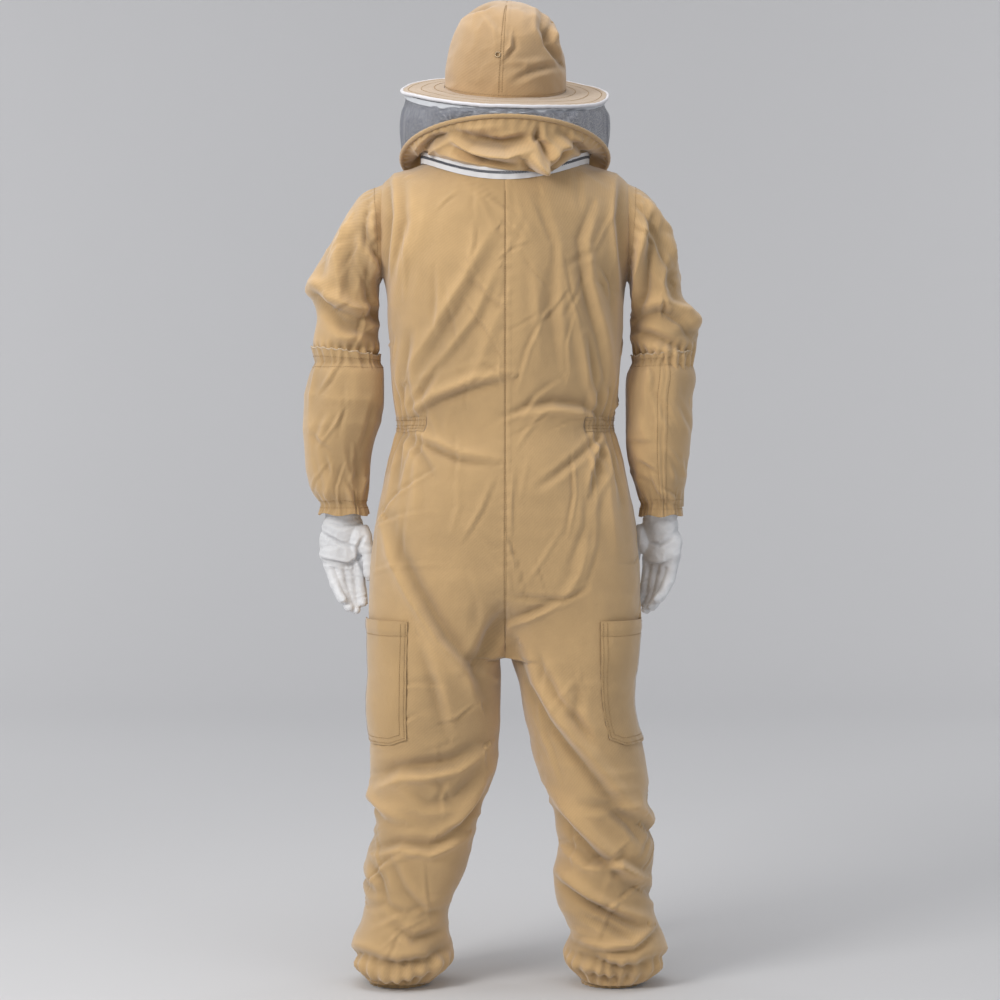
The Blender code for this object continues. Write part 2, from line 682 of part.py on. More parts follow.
def build_hat():
    """Crown, brim, piping, sweatband and eyelet."""
    full = 360 - 360 / HAT_COLUMNS
    for word, first in (("right", 0), ("left", 180)):
        rows = []
        for radius, rise in CROWN:
            edge = math.degrees(min(0.2, SEAM / radius))
            rows.append([tilted(radius, angle, rise, BRIM_CENTRE, BRIM_TILT)
                         for angle in span(first + edge, first + 180 - edge, 15)])
        cloth("hat_crown_" + word, rows, KHAKI, LIGHT_CLOTH, flipped=True, pivot=HOOD_HINGE)
    inner, outer = BRIM_RADII
    rows = hat_rows(((outer, -0.001), ((inner + outer) / 2, 0.001), (inner, 0.002)), 0, full, HAT_COLUMNS)
    cloth("hat_brim", rows, KHAKI, CLOTH, closed=True, flipped=True, pivot=HOOD_HINGE)
    tube_ring("brim_piping", outer + 0.0038, 0.003, -0.003, BRIM_CENTRE, BRIM_TILT, LINING)
    rows = hat_rows(((0.1072, -0.004), (0.1072, 0.024)), 0, full, HAT_COLUMNS)
    cloth("hat_sweatband", rows, LINING, 0.002, closed=True, flipped=True, pivot=HOOD_HINGE)
    eyelet_at = tilted(0.1053, 187, 0.078, BRIM_CENTRE, BRIM_TILT)
    outward = Matrix.Rotation(BRIM_TILT, 3, "X") @ Vector((-0.12, -0.93, 0.32))
    spin = outward.normalized().to_track_quat("Z", "Y").to_matrix()
    sides, around = 8, 16
    points = []
    for side in range(sides):
        turn = 2 * math.pi * side / sides
        for step in range(around):
            angle = 2 * math.pi * step / around
            reach = 0.0045 + 0.0011 * math.cos(turn)
            local = Vector((reach * math.cos(angle), reach * math.sin(angle), 0.0011 * math.sin(turn)))
            points.append(eyelet_at + spin @ local)
    faces = [tuple(index % (sides * around) for index in face)
             for face in grid_faces(sides + 1, around, True)]
    add_object("crown_eyelet", points, faces, METAL, HOOD_HINGE)


def veil_line(angle):
    """Bottom and top of the veil at an angle."""
    return (tilted(HOOP_RADIUS, angle, 0.0048, HOOP_CENTRE, HOOP_TILT),
            tilted(0.1790, angle, -0.0055, BRIM_CENTRE, BRIM_TILT))


def build_veil():
    """Veil with its binding, the hoop, the cloth skirt under it and the upper zip tape."""
    full = 360 - 360 / HAT_COLUMNS
    rows = []
    for drop in (0.0125, 0.0025):
        row = []
        for angle in span(0, full, HAT_COLUMNS):
            low, high = veil_line(angle)
            turn = math.radians(angle)
            outward = Vector((math.sin(turn), math.cos(turn), 0)) * 0.0008
            row.append(high + (low - high).normalized() * drop + outward)
        rows.append(row)
    cloth("veil_binding", rows, LINING, TAPE, closed=True, flipped=True, pivot=HOOD_HINGE,
          outward=True)
    tube_ring("veil_hoop", HOOP_RADIUS, 0.0038, 0.0, HOOP_CENTRE, HOOP_TILT, KHAKI)
    edge = 0.2
    for word, first, last, count in (("front", -VEIL_SEAM + edge, VEIL_SEAM - edge, 23),
                                     ("back", VEIL_SEAM + edge, 360 - VEIL_SEAM - edge, 7)):
        rows = []
        for share in span(0, 1, 4):
            row = []
            for angle in span(first, last, count):
                low, high = veil_line(angle)
                row.append(low.lerp(high, share))
            rows.append(row)
        cloth("veil_mesh_" + word, rows, MESH, 0.0012, flipped=True, pivot=HOOD_HINGE)
    for word, first, last in (("front", -90 + edge, 90 - edge), ("back", 90 + edge, 270 - edge)):
        neck = ring_rows(NECK_RADIUS - 0.0008, (0.019, 0.034), first, last, 15)
        rows = list(neck)
        for share in (0.3, 0.65, 1.0):
            row = []
            for column, angle in enumerate(span(first, last, 15)):
                high = tilted(HOOP_RADIUS - 0.0065, angle, -0.001, HOOP_CENTRE, HOOP_TILT)
                row.append(Vector(neck[1][column]).lerp(high, share))
            rows.append(row)
        cloth("hood_skirt_" + word, rows, KHAKI, 0.0025, flipped=True, pivot=HOOD_HINGE)
    cloth("neck_zip_tape_upper", closed_rows(NECK_RADIUS + 0.001, (0.0180, 0.0265)), LINING, TAPE,
          closed=True, flipped=True, pivot=HOOD_HINGE, outward=True)


def build_suit():
    """The whole suit."""
    build_torso()
    build_gusset()
    build_waist()
    build_neck()
    build_front_zip()
    build_sliders()
    build_chest_pocket()
    for side, word in ((1, "right"), (-1, "left")):
        build_arm(side, word)
        build_leg(side, word)
    build_hat()
    build_veil()


build_suit()
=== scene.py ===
"""Looks of the beekeeping suit: a khaki cotton coverall, a zip-on hat and veil, and long leather gloves.

Metres, +Z up, +X the wearer's right, +Y the wearer's front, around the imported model.
"""

import math
import random

import bmesh
import bpy
import numpy as np
from mathutils import Matrix, Vector
from mathutils.kdtree import KDTree


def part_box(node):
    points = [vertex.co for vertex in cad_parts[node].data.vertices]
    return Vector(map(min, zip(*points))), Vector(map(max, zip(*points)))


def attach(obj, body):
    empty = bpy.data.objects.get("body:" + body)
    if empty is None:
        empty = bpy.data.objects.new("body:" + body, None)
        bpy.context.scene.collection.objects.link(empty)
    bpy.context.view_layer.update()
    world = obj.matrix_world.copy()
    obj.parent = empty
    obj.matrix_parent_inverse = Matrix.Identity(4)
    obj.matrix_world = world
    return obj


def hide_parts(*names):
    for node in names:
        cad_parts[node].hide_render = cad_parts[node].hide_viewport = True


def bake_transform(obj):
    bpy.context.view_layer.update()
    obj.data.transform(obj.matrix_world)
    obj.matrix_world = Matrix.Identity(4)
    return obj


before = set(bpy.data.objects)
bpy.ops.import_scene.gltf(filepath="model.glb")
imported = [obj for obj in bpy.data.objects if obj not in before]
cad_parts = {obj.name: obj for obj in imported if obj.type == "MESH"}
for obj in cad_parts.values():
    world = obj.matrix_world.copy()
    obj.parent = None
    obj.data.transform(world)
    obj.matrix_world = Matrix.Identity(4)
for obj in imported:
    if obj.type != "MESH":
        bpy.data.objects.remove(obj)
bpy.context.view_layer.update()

SIDES = (("right", 1), ("left", -1))
TAU = 2 * math.pi

# Body sections: roundness, half width, front y, back y, then height at front, side and back.
TORSO = (
    (2.6, 0.246, 0.125, -0.125, 0.585, 0.585, 0.585),
    (2.5, 0.246, 0.138, -0.136, 0.700, 0.700, 0.700),
    (2.5, 0.243, 0.150, -0.142, 0.790, 0.790, 0.790),
    (2.5, 0.236, 0.150, -0.146, 0.860, 0.860, 0.860),
    (2.4, 0.216, 0.149, -0.142, 0.950, 0.950, 0.950),
    (2.3, 0.195, 0.148, -0.131, 1.026, 1.026, 1.026),
    (2.4, 0.206, 0.150, -0.141, 1.110, 1.110, 1.110),
    (2.4, 0.213, 0.151, -0.150, 1.200, 1.200, 1.200),
    (2.4, 0.218, 0.151, -0.154, 1.262, 1.270, 1.262),
    (2.3, 0.240, 0.151, -0.156, 1.300, 1.350, 1.320),
    (2.2, 0.237, 0.150, -0.155, 1.335, 1.425, 1.375),
    (2.1, 0.205, 0.150, -0.153, 1.362, 1.470, 1.420),
    (2.0, 0.150, 0.150, -0.150, 1.389, 1.497, 1.455),
)
NECK = TORSO[-1]
ZIP_BOTTOM = 0.765
WAIST = 1.026

# Leg sections: height, inner x, outer x, half depth. The two legs hang a little differently.
LEGS = {
    "left": (
        (0.700, 0.010, 0.246, 0.128), (0.598, 0.008, 0.247, 0.125), (0.558, 0.009, 0.247, 0.122),
        (0.503, 0.011, 0.249, 0.117), (0.448, 0.013, 0.246, 0.112), (0.394, 0.020, 0.245, 0.107),
        (0.339, 0.040, 0.244, 0.101), (0.284, 0.054, 0.241, 0.096), (0.256, 0.060, 0.249, 0.095),
        (0.201, 0.073, 0.261, 0.092), (0.146, 0.098, 0.257, 0.087), (0.092, 0.105, 0.272, 0.088),
        (0.064, 0.100, 0.276, 0.089), (0.037, 0.105, 0.270, 0.080), (0.018, 0.130, 0.252, 0.062),
        (0.010, 0.141, 0.249, 0.055)),
    "right": (
        (0.700, 0.010, 0.243, 0.128), (0.598, 0.010, 0.240, 0.125), (0.558, 0.026, 0.234, 0.122),
        (0.503, 0.036, 0.238, 0.117), (0.448, 0.048, 0.252, 0.112), (0.394, 0.062, 0.261, 0.107),
        (0.339, 0.083, 0.265, 0.101), (0.284, 0.096, 0.271, 0.096), (0.256, 0.102, 0.275, 0.095),
        (0.201, 0.092, 0.270, 0.092), (0.146, 0.100, 0.271, 0.087), (0.092, 0.122, 0.288, 0.088),
        (0.064, 0.114, 0.291, 0.089), (0.037, 0.118, 0.282, 0.080), (0.018, 0.138, 0.262, 0.062),
        (0.010, 0.144, 0.251, 0.055)),
}
LEG_ROUNDNESS = 2.3
CROTCH = 0.603
CUFF_CENTRE = 0.195

# Where the legs and arms are split between joints, and where each bend starts and ends.
KNEE_X, KNEE_ROW, KNEE_BEND = 0.15, 0.450, (0.425, 0.290)
ELBOW_ROW = 1.190

# Sleeve sections: outer x and z, inner x and z, middle y, half depth. Both sleeves end the same way.
ARMHOLE_X = 0.2225
SLEEVE_END = (
    (0.338, 1.110, 0.2440, 1.110, 0.010, 0.052), (0.337, 1.050, 0.2470, 1.050, 0.012, 0.047),
    (0.334, 0.980, 0.2520, 0.980, 0.016, 0.041), (0.329, 0.930, 0.2600, 0.930, 0.020, 0.0345),
    (0.329, 0.908, 0.2610, 0.908, 0.020, 0.0335),
)
SLEEVES = {
    "left": (
        (0.258, 1.447, 0.2275, 1.283, 0.000, 0.084), (0.292, 1.404, 0.2285, 1.272, 0.000, 0.081),
        (0.320, 1.352, 0.2290, 1.258, 0.002, 0.076), (0.350, 1.302, 0.2300, 1.240, 0.005, 0.071),
        (0.361, 1.268, 0.2300, 1.228, 0.008, 0.068), (0.344, 1.235, 0.2300, 1.210, 0.010, 0.066),
        (0.340, 1.212, 0.2300, 1.195, 0.010, 0.063), (0.346, 1.178, 0.2310, 1.175, 0.010, 0.061),
        (0.342, 1.148, 0.2360, 1.148, 0.010, 0.056),
    ) + SLEEVE_END,
    "right": (
        (0.258, 1.447, 0.2275, 1.283, 0.000, 0.084), (0.288, 1.404, 0.2285, 1.272, 0.000, 0.081),
        (0.307, 1.352, 0.2290, 1.258, 0.002, 0.076), (0.317, 1.300, 0.2300, 1.240, 0.005, 0.071),
        (0.324, 1.262, 0.2300, 1.225, 0.008, 0.068), (0.347, 1.224, 0.2300, 1.208, 0.010, 0.066),
        (0.355, 1.200, 0.2300, 1.190, 0.010, 0.064), (0.350, 1.172, 0.2310, 1.165, 0.010, 0.060),
        (0.342, 1.140, 0.2360, 1.140, 0.010, 0.056),
    ) + SLEEVE_END,
}
# Gauntlet sections, in the same terms as the sleeves.
GAUNTLETS = {
    "left": (
        (0.3585, 1.166, 0.2270, 1.152, 0.010, 0.0680), (0.3500, 1.143, 0.2290, 1.138, 0.010, 0.0620),
        (0.3585, 1.118, 0.2230, 1.118, 0.011, 0.0665), (0.3655, 1.075, 0.2210, 1.075, 0.012, 0.0690),
        (0.3670, 1.035, 0.2250, 1.035, 0.012, 0.0680), (0.3640, 0.985, 0.2400, 0.985, 0.014, 0.0630),
        (0.3600, 0.935, 0.2480, 0.935, 0.017, 0.0560), (0.3520, 0.900, 0.2520, 0.900, 0.019, 0.0500),
        (0.3420, 0.884, 0.2540, 0.884, 0.020, 0.0445), (0.3400, 0.874, 0.2530, 0.874, 0.020, 0.0430),
        (0.3430, 0.862, 0.2510, 0.860, 0.020, 0.0450)),
    "right": (
        (0.3500, 1.158, 0.2270, 1.150, 0.010, 0.0670), (0.3430, 1.140, 0.2290, 1.134, 0.010, 0.0610),
        (0.3480, 1.118, 0.2240, 1.118, 0.011, 0.0660), (0.3410, 1.075, 0.2215, 1.075, 0.012, 0.0680),
        (0.3420, 1.035, 0.2215, 1.035, 0.012, 0.0680), (0.3370, 0.985, 0.2250, 0.985, 0.014, 0.0630),
        (0.3310, 0.935, 0.2350, 0.935, 0.017, 0.0560), (0.3280, 0.900, 0.2440, 0.900, 0.019, 0.0500),
        (0.3260, 0.884, 0.2500, 0.884, 0.020, 0.0445), (0.3250, 0.874, 0.2510, 0.874, 0.020, 0.0430),
        (0.3270, 0.860, 0.2490, 0.858, 0.020, 0.0450)),
}

# Hood: brim, crown profile as radius and rise, and the wire hoop.
BRIM_CENTRE = Vector((0.0, 0.0, 1.634))
BRIM_TILT = math.radians(15.5)
HAT_ROLL = math.radians(1.8)
BRIM_RADII = (0.1130, 0.1850)
CROWN = ((0.1118, 0.000), (0.1122, 0.018), (0.1118, 0.036), (0.1075, 0.060), (0.1020, 0.082),
         (0.0930, 0.106), (0.0800, 0.128), (0.0620, 0.145), (0.0400, 0.155), (0.0200, 0.1585),
         (0.0010, 0.1595))
HOOP_CENTRE = Vector((0.0, 0.0, 1.508))
HOOP_TILT = math.radians(-18)
HOOP_RADIUS = 0.1885
VEIL_SEAM = 141.43

# How much narrower and deeper every drawn fold is made.
FOLD_WIDTH, FOLD_DEPTH = 0.85, 1.30


def smooth(share):
    """A smooth step from 0 to 1."""
    share = np.clip(share, 0.0, 1.0)
    return share * share * (3 - 2 * share)


def bump(value, middle, width):
    """A bell of height 1."""
    return np.exp(-((value - middle) / width) ** 2)


def signed_power(value, power):
    """A power that keeps the sign."""
    return np.sign(value) * np.abs(value) ** power


def curve(at, keys, values):
    """Smooth values through a table at rising keys."""
    keys = np.asarray(keys, float)
    values = np.asarray(values, float)
    slopes = np.gradient(values, keys, axis=0)
    low = np.clip(np.searchsorted(keys, at, side="right") - 1, 0, len(keys) - 2)
    gap = keys[low + 1] - keys[low]
    t = np.clip((at - keys[low]) / gap, 0, 1)
    shape = (len(np.atleast_1d(at)),) + (1,) * (values.ndim - 1)
    t, gap = t.reshape(shape), gap.reshape(shape)
    a, b = values[low].reshape((shape[0],) + values.shape[1:]), values[low + 1]
    return ((2 * t ** 3 - 3 * t ** 2 + 1) * a + (t ** 3 - 2 * t ** 2 + t) * gap * slopes[low]
            + (3 * t ** 2 - 2 * t ** 3) * b + (t ** 3 - t ** 2) * gap * slopes[low + 1])


def lattice(points, seed):
    """A fixed pseudo-random value from -1 to 1 for each whole-number point."""
    x, y, z = (points[..., k].astype(np.int64) for k in range(3))
    mixed = (x * 374761393 + y * 668265263 + z * 2147483647 + seed * 144665) & 0x7FFFFFFF
    mixed = ((mixed ^ (mixed >> 13)) * 1274126177) & 0x7FFFFFFF
    mixed = mixed ^ (mixed >> 16)
    return (mixed & 0xFFFF) / 32767.5 - 1.0


def wander(points, seed=0):
    """Smooth noise from -1 to 1 at points, with one swing per unit."""
    base = np.floor(points)
    part = points - base
    part = part * part * part * (part * (part * 6 - 15) + 10)
    total = 0.0
    for dx in (0, 1):
        for dy in (0, 1):
            for dz in (0, 1):
                weight = ((part[..., 0] if dx else 1 - part[..., 0])
                          * (part[..., 1] if dy else 1 - part[..., 1])
                          * (part[..., 2] if dz else 1 - part[..., 2]))
                total = total + weight * lattice(base + (dx, dy, dz), seed)
    return total


def noise_at(x, y, z, seed):
    """Smooth noise at coordinates that broadcast together."""
    return wander(np.stack(np.broadcast_arrays(x, y, z), axis=-1), seed)


def swayed(points, reach, swings, seed):
    """Points moved about a little by smooth noise, so that what is drawn over them is less regular."""
    return points + reach * np.stack([wander(points * swings, seed + k) for k in range(3)], axis=-1)


def creased(points, swings, seed):
    """Noise with sharp ridges, from -1 to 1."""
    return 1 - np.abs(wander(points * swings, seed)) * 2


def even_angles(count):
    """Angles in degrees at even steps round a circle."""
    return np.arange(count) * 360 / count


def outward(turn):
    """Level unit vectors away from the middle, at turns from the front."""
    return np.stack([np.sin(turn), np.cos(turn), turn * 0], axis=-1)


def closed_row(grid, row):
    """One row of a closed grid, with its first point again at the end."""
    return np.concatenate([grid[row], grid[row][:1]])


def nearest_row(heights, height):
    """The row of a grid of heights that lies nearest to a height."""
    return int(np.argmin(np.abs(heights.mean(axis=1) - height)))


def grid_normals(grid, closed):
    """Unit normals of a grid of points; columns run from the front to +X on the right."""
    if closed:
        along = np.roll(grid, -1, axis=1) - np.roll(grid, 1, axis=1)
    else:
        along = np.gradient(grid, axis=1)
    down = np.gradient(grid, axis=0)
    normal = np.cross(along, down)
    length = np.linalg.norm(normal, axis=2, keepdims=True)
    return normal / np.maximum(length, 1e-12)


def stroke_field(a, b, path, width):
    """For flat points (a, b): signed distance to a drawn line in widths, and a taper to its ends."""
    path = np.asarray(path, float)
    lengths = np.linalg.norm(np.diff(path, axis=0), axis=1)
    starts = np.concatenate([[0], np.cumsum(lengths)])
    best = np.full(a.shape, 1e9)
    signed = np.zeros(a.shape)
    along = np.zeros(a.shape)
    for (a0, b0), (a1, b1), start, length in zip(path, path[1:], starts, lengths):
        da, db = (a1 - a0) / length, (b1 - b0) / length
        t = np.clip((a - a0) * da + (b - b0) * db, 0, length)
        off_a, off_b = a - a0 - t * da, b - b0 - t * db
        away = np.hypot(off_a, off_b)
        near = away < best
        best = np.where(near, away, best)
        signed = np.where(near, np.where(off_b * da - off_a * db >= 0, away, -away), signed)
        along = np.where(near, start + t, along)
    share = along / starts[-1]
    taper = np.sin(math.pi * np.clip(share * 0.88 + 0.06, 0, 1)) ** 0.8
    return signed / width, taper


def fold(distance, kind):
    """Cross-section of a fold: a crease, a ridge, or a roll with a lit side and a dark side."""
    if kind == "crease":
        shoulders = 0.45 * np.exp(-(np.abs(np.abs(distance) - 1.8) / 0.9) ** 1.6)
        return -np.exp(-np.abs(distance) ** 1.35) + shoulders
    if kind == "ridge":
        return np.exp(-np.abs(distance) ** 1.35) - 0.35 * np.exp(-((np.abs(distance) - 1.9) / 0.9) ** 2)
    lit = np.exp(-(np.abs(distance - 0.75) / 0.95) ** 1.7)
    dark = np.exp(-(np.abs(distance + 0.62) / 0.72) ** 1.45)
    return 1.30 * (lit - dark)


def draw_folds(points, normals, strokes):
    """Height of all the drawn folds over a surface. Each stroke is seen from one side."""
    height = np.zeros(points.shape[:-1])
    for view, kind, depth, width, path in strokes:
        axis, sign = {"back": (1, -1), "front": (1, 1), "right": (0, 1), "left": (0, -1)}[view]
        across, up = points[..., 1 - axis], points[..., 2]
        reach = 5 * width
        ends = np.asarray(path)
        near = (across > ends[:, 0].min() - reach) & (across < ends[:, 0].max() + reach)
        near &= (up > ends[:, 1].min() - reach) & (up < ends[:, 1].max() + reach)
        facing = smooth((normals[near][:, axis] * sign + 0.05) / 0.45)
        if axis == 0:
            facing = facing * smooth(points[near][:, 0] * sign / 0.05)
        distance, taper = stroke_field(across[near], up[near], path, width * FOLD_WIDTH)
        height[near] += depth * FOLD_DEPTH * facing * taper * fold(distance, kind)
    return height


def loose_creases(seed, count, view, wide, high, lean, length, depth):
    """Small straight-ish creases scattered over a side of the suit, always the same ones."""
    pick = random.Random(seed)
    strokes = []
    for _ in range(count):
        a, z = pick.uniform(*wide), pick.uniform(*high)
        turn = math.radians(lean + pick.gauss(0, 24))
        half = pick.uniform(*length) / 2
        bow = pick.uniform(-0.2, 0.2) * half
        da, dz = math.sin(turn), math.cos(turn)
        path = ((a - da * half, z - dz * half), (a + dz * bow, z - da * bow),
                (a + da * half, z + dz * half))
        kind = pick.choice(("crease", "roll", "roll", "ridge"))
        swing = pick.choice((-1, 1)) if kind == "roll" else 1
        strokes.append((view, kind, swing * pick.uniform(*depth), pick.uniform(0.0034, 0.0075), path))
    return strokes


# ---------------------------------------------------------------- materials
def shader_of(name, roughness, sheen=0.0, metallic=0.0):
    """A new node material, its tree and its main shader."""
    material = bpy.data.materials.new(name)
    material.use_nodes = True
    tree = material.node_tree
    shader = tree.nodes["Principled BSDF"]
    shader.inputs["Roughness"].default_value = roughness
    shader.inputs["Metallic"].default_value = metallic
    shader.inputs["Sheen Weight"].default_value = sheen
    shader.inputs["Sheen Roughness"].default_value = 0.6
    return material, tree, shader


def node(tree, kind, **settings):
    """A node with its settings and its unlinked inputs."""
    made = tree.nodes.new(kind)
    for name, value in settings.items():
        if name in made.inputs:
            made.inputs[name].default_value = value
        else:
            setattr(made, name, value)
    return made


def maths(tree, operation, a, b=None):
    """A maths node on sockets or numbers."""
    made = tree.nodes.new("ShaderNodeMath")
    made.operation = operation
    for slot, value in enumerate((a, b)):
        if value is None:
            continue
        if isinstance(value, (int, float)):
            made.inputs[slot].default_value = value
        else:
            tree.links.new(value, made.inputs[slot])
    return made.outputs[0]


def tint(tree, colour, factor, darker, lighter):
    """Colour scaled from darker to lighter by a 0 to 1 factor."""
    ramp = tree.nodes.new("ShaderNodeMix")
    ramp.data_type = "RGBA"
    ramp.inputs[6].default_value = (*[c * darker for c in colour], 1)
    ramp.inputs[7].default_value = (*[c * lighter for c in colour], 1)
    tree.links.new(factor, ramp.inputs[0])
    return ramp.outputs[2]


def noise(tree, scale, detail, roughness=0.5, distortion=0.0):
    """Noise in the piece's own space, from 0 to 1."""
    place = node(tree, "ShaderNodeTexCoord")
    made = node(tree, "ShaderNodeTexNoise", Scale=scale, Detail=detail, Roughness=roughness,
                Distortion=distortion)
    tree.links.new(place.outputs["Object"], made.inputs["Vector"])
    return made.outputs["Fac"]


def weave_lines(tree, per_metre, distortion, direction):
    """Bands along the weave, from 0 to 1."""
    weave = node(tree, "ShaderNodeUVMap", uv_map="weave")
    made = node(tree, "ShaderNodeTexWave", Scale=per_metre / 6.0, Distortion=distortion)
    made.bands_direction = direction
    tree.links.new(weave.outputs[0], made.inputs["Vector"])
    return made


def fold_height(tree):
    """How far the cloth stands proud or sunk, read by the colour for painted light on ridges and painted
    shade in hollows.
    """
    return node(tree, "ShaderNodeAttribute", attribute_name="fold").outputs["Fac"]


def weighted(tree, *parts):
    """The sum of sockets, each times its weight."""
    total = None
    for socket, weight in parts:
        scaled = maths(tree, "MULTIPLY", socket, weight)
        total = scaled if total is None else maths(tree, "ADD", total, scaled)
    return total


def uneven(tree, shader, *bumps):
    """Bumps laid over each other, each a height socket, a strength and a distance."""
    below = None
    for height, strength, distance in bumps:
        made = node(tree, "ShaderNodeBump", Strength=strength, Distance=distance)
        tree.links.new(height, made.inputs["Height"])
        if below is not None:
            tree.links.new(below, made.inputs["Normal"])
        below = made.outputs[0]
    tree.links.new(below, shader.inputs["Normal"])


def cotton(name, colour, twill=620.0, sheen=0.42):
    """Woven cotton: twill lines, uneven threads, and colour made lighter on fold ridges and darker in
    creases, partly wear and partly painted light and painted shade.
    """
    material, tree, shader = shader_of(name, 0.88, sheen)
    fade = noise(tree, 7.0, 3.0, 0.55)
    blotch = noise(tree, 38.0, 4.0, 0.6)
    thread = node(tree, "ShaderNodeMapping")
    thread.inputs["Scale"].default_value = (900.0, 60.0, 1.0)
    weave = node(tree, "ShaderNodeUVMap", uv_map="weave")
    tree.links.new(weave.outputs[0], thread.inputs["Vector"])
    streak = node(tree, "ShaderNodeTexNoise", Scale=1.0, Detail=2.0)
    tree.links.new(thread.outputs[0], streak.inputs["Vector"])
    streak = streak.outputs["Fac"]
    lines = weave_lines(tree, twill, 0.6, "DIAGONAL")
    lines.inputs["Detail Scale"].default_value = 2.0
    lines = lines.outputs["Fac"]
    # The fold height lightens the ridges and darkens the hollows: painted light and painted shade, besides
    # wear.
    mix = weighted(tree, (fade, 0.40), (blotch, 0.28), (streak, 0.22), (lines, 0.10),
                   (fold_height(tree), 0.55))
    tree.links.new(tint(tree, colour, mix, 0.70, 1.30), shader.inputs["Base Color"])
    threads = maths(tree, "ADD", lines, maths(tree, "MULTIPLY", streak, 0.8))
    uneven(tree, shader, (threads, 0.25, 0.0004), (blotch, 0.35, 0.0030))
    return material


def leather(name, colour):
    """Soft white leather with pebbled grain, fine creases and handled, greyer areas; the colour is also
    darker in the hollows of the hand's folds and lighter on their ridges, painted shade and painted light.
    """
    material, tree, shader = shader_of(name, 0.58, 0.05)
    place = node(tree, "ShaderNodeTexCoord")
    grain = node(tree, "ShaderNodeTexVoronoi", Scale=520.0)
    tree.links.new(place.outputs["Object"], grain.inputs["Vector"])
    crease = noise(tree, 95.0, 5.0, 0.65, 1.5)
    soil = noise(tree, 26.0, 3.0)
    # The fold height paints shade into the hollows and light onto the ridges.
    mix = weighted(tree, (soil, 0.6), (crease, 0.3), (fold_height(tree), 0.6))
    tree.links.new(tint(tree, colour, mix, 0.82, 1.12), shader.inputs["Base Color"])
    rough = maths(tree, "ADD", maths(tree, "MULTIPLY", soil, 0.25), 0.42)
    tree.links.new(rough, shader.inputs["Roughness"])
    uneven(tree, shader, (grain.outputs["Distance"], 0.3, 0.0005), (crease, 0.5, 0.0025))
    return material


def tape_cloth(name, colour):
    """Woven tape with fine ribs across it."""
    material, tree, shader = shader_of(name, 0.72, 0.15)
    rib = weave_lines(tree, 900.0, 0.2, "X").outputs["Fac"]
    mix = weighted(tree, (rib, 0.35), (noise(tree, 45.0, 4.0), 0.65))
    tree.links.new(tint(tree, colour, mix, 0.84, 1.12), shader.inputs["Base Color"])
    uneven(tree, shader, (rib, 0.3, 0.0004))
    return material


def net(name, colour, cell, cover):
    """Open mesh: threads both ways with see-through holes between them."""
    material, tree, shader = shader_of(name, 0.75, 0.2)
    weave = node(tree, "ShaderNodeUVMap", uv_map="weave")
    split = node(tree, "ShaderNodeSeparateXYZ")
    tree.links.new(weave.outputs[0], split.inputs[0])
    threads = []
    for axis in (0, 1):
        wave = maths(tree, "PINGPONG", split.outputs[axis], cell / 2)
        threads.append(maths(tree, "LESS_THAN", wave, cell * cover / 2))
    tree.links.new(tint(tree, colour, noise(tree, 30.0, 3.0), 0.75, 1.25), shader.inputs["Base Color"])
    tree.links.new(maths(tree, "MAXIMUM", *threads), shader.inputs["Alpha"])
    return material


def metal(name, colour, roughness):
    """Plated or enamelled metal with fine brushing and handling marks."""
    material, tree, shader = shader_of(name, roughness, 0.0, 1.0)
    marks = noise(tree, 600.0, 4.0)
    tree.links.new(tint(tree, colour, marks, 0.8, 1.15), shader.inputs["Base Color"])
    rough = maths(tree, "ADD", maths(tree, "MULTIPLY", marks, 0.3), roughness - 0.12)
    tree.links.new(rough, shader.inputs["Roughness"])
    uneven(tree, shader, (marks, 0.15, 0.0002))
    return material


def plastic(name, colour):
    """Moulded plastic with a faint orange peel."""
    material, tree, shader = shader_of(name, 0.4)
    peel = noise(tree, 900.0, 2.0)
    tree.links.new(tint(tree, colour, peel, 0.85, 1.15), shader.inputs["Base Color"])
    uneven(tree, shader, (peel, 0.1, 0.0002))
    return material


KHAKI = cotton("khaki_twill", (0.470, 0.302, 0.136))
POCKET = cotton("khaki_pocket_twill", (0.405, 0.258, 0.112))
CASING = cotton("khaki_gathered_casing", (0.430, 0.276, 0.126))
HAT_CLOTH = cotton("khaki_hat_twill", (0.455, 0.290, 0.140))
BRIM_CLOTH = cotton("khaki_brim_twill", (0.385, 0.265, 0.155))
THREAD = cotton("khaki_thread", (0.385, 0.245, 0.110), twill=3000.0, sheen=0.1)
OVERLOCK = cotton("pale_overlock_thread", (0.560, 0.430, 0.280), twill=3000.0, sheen=0.3)
WHITE = tape_cloth("white_woven_tape", (0.72, 0.72, 0.74))
PIPING = tape_cloth("white_piping", (0.70, 0.69, 0.72))
RIBBON = tape_cloth("white_ribbon", (0.62, 0.64, 0.68))
NET = net("veil_net", (0.210, 0.220, 0.262), 0.0018, 0.34)
LEATHER = leather("white_goatskin", (0.73, 0.735, 0.755))
NICKEL = metal("nickel_plate", (0.62, 0.62, 0.63), 0.34)
ENAMEL = metal("khaki_enamel", (0.48, 0.37, 0.24), 0.42)
TEETH = plastic("grey_zip_teeth", (0.115, 0.125, 0.150))


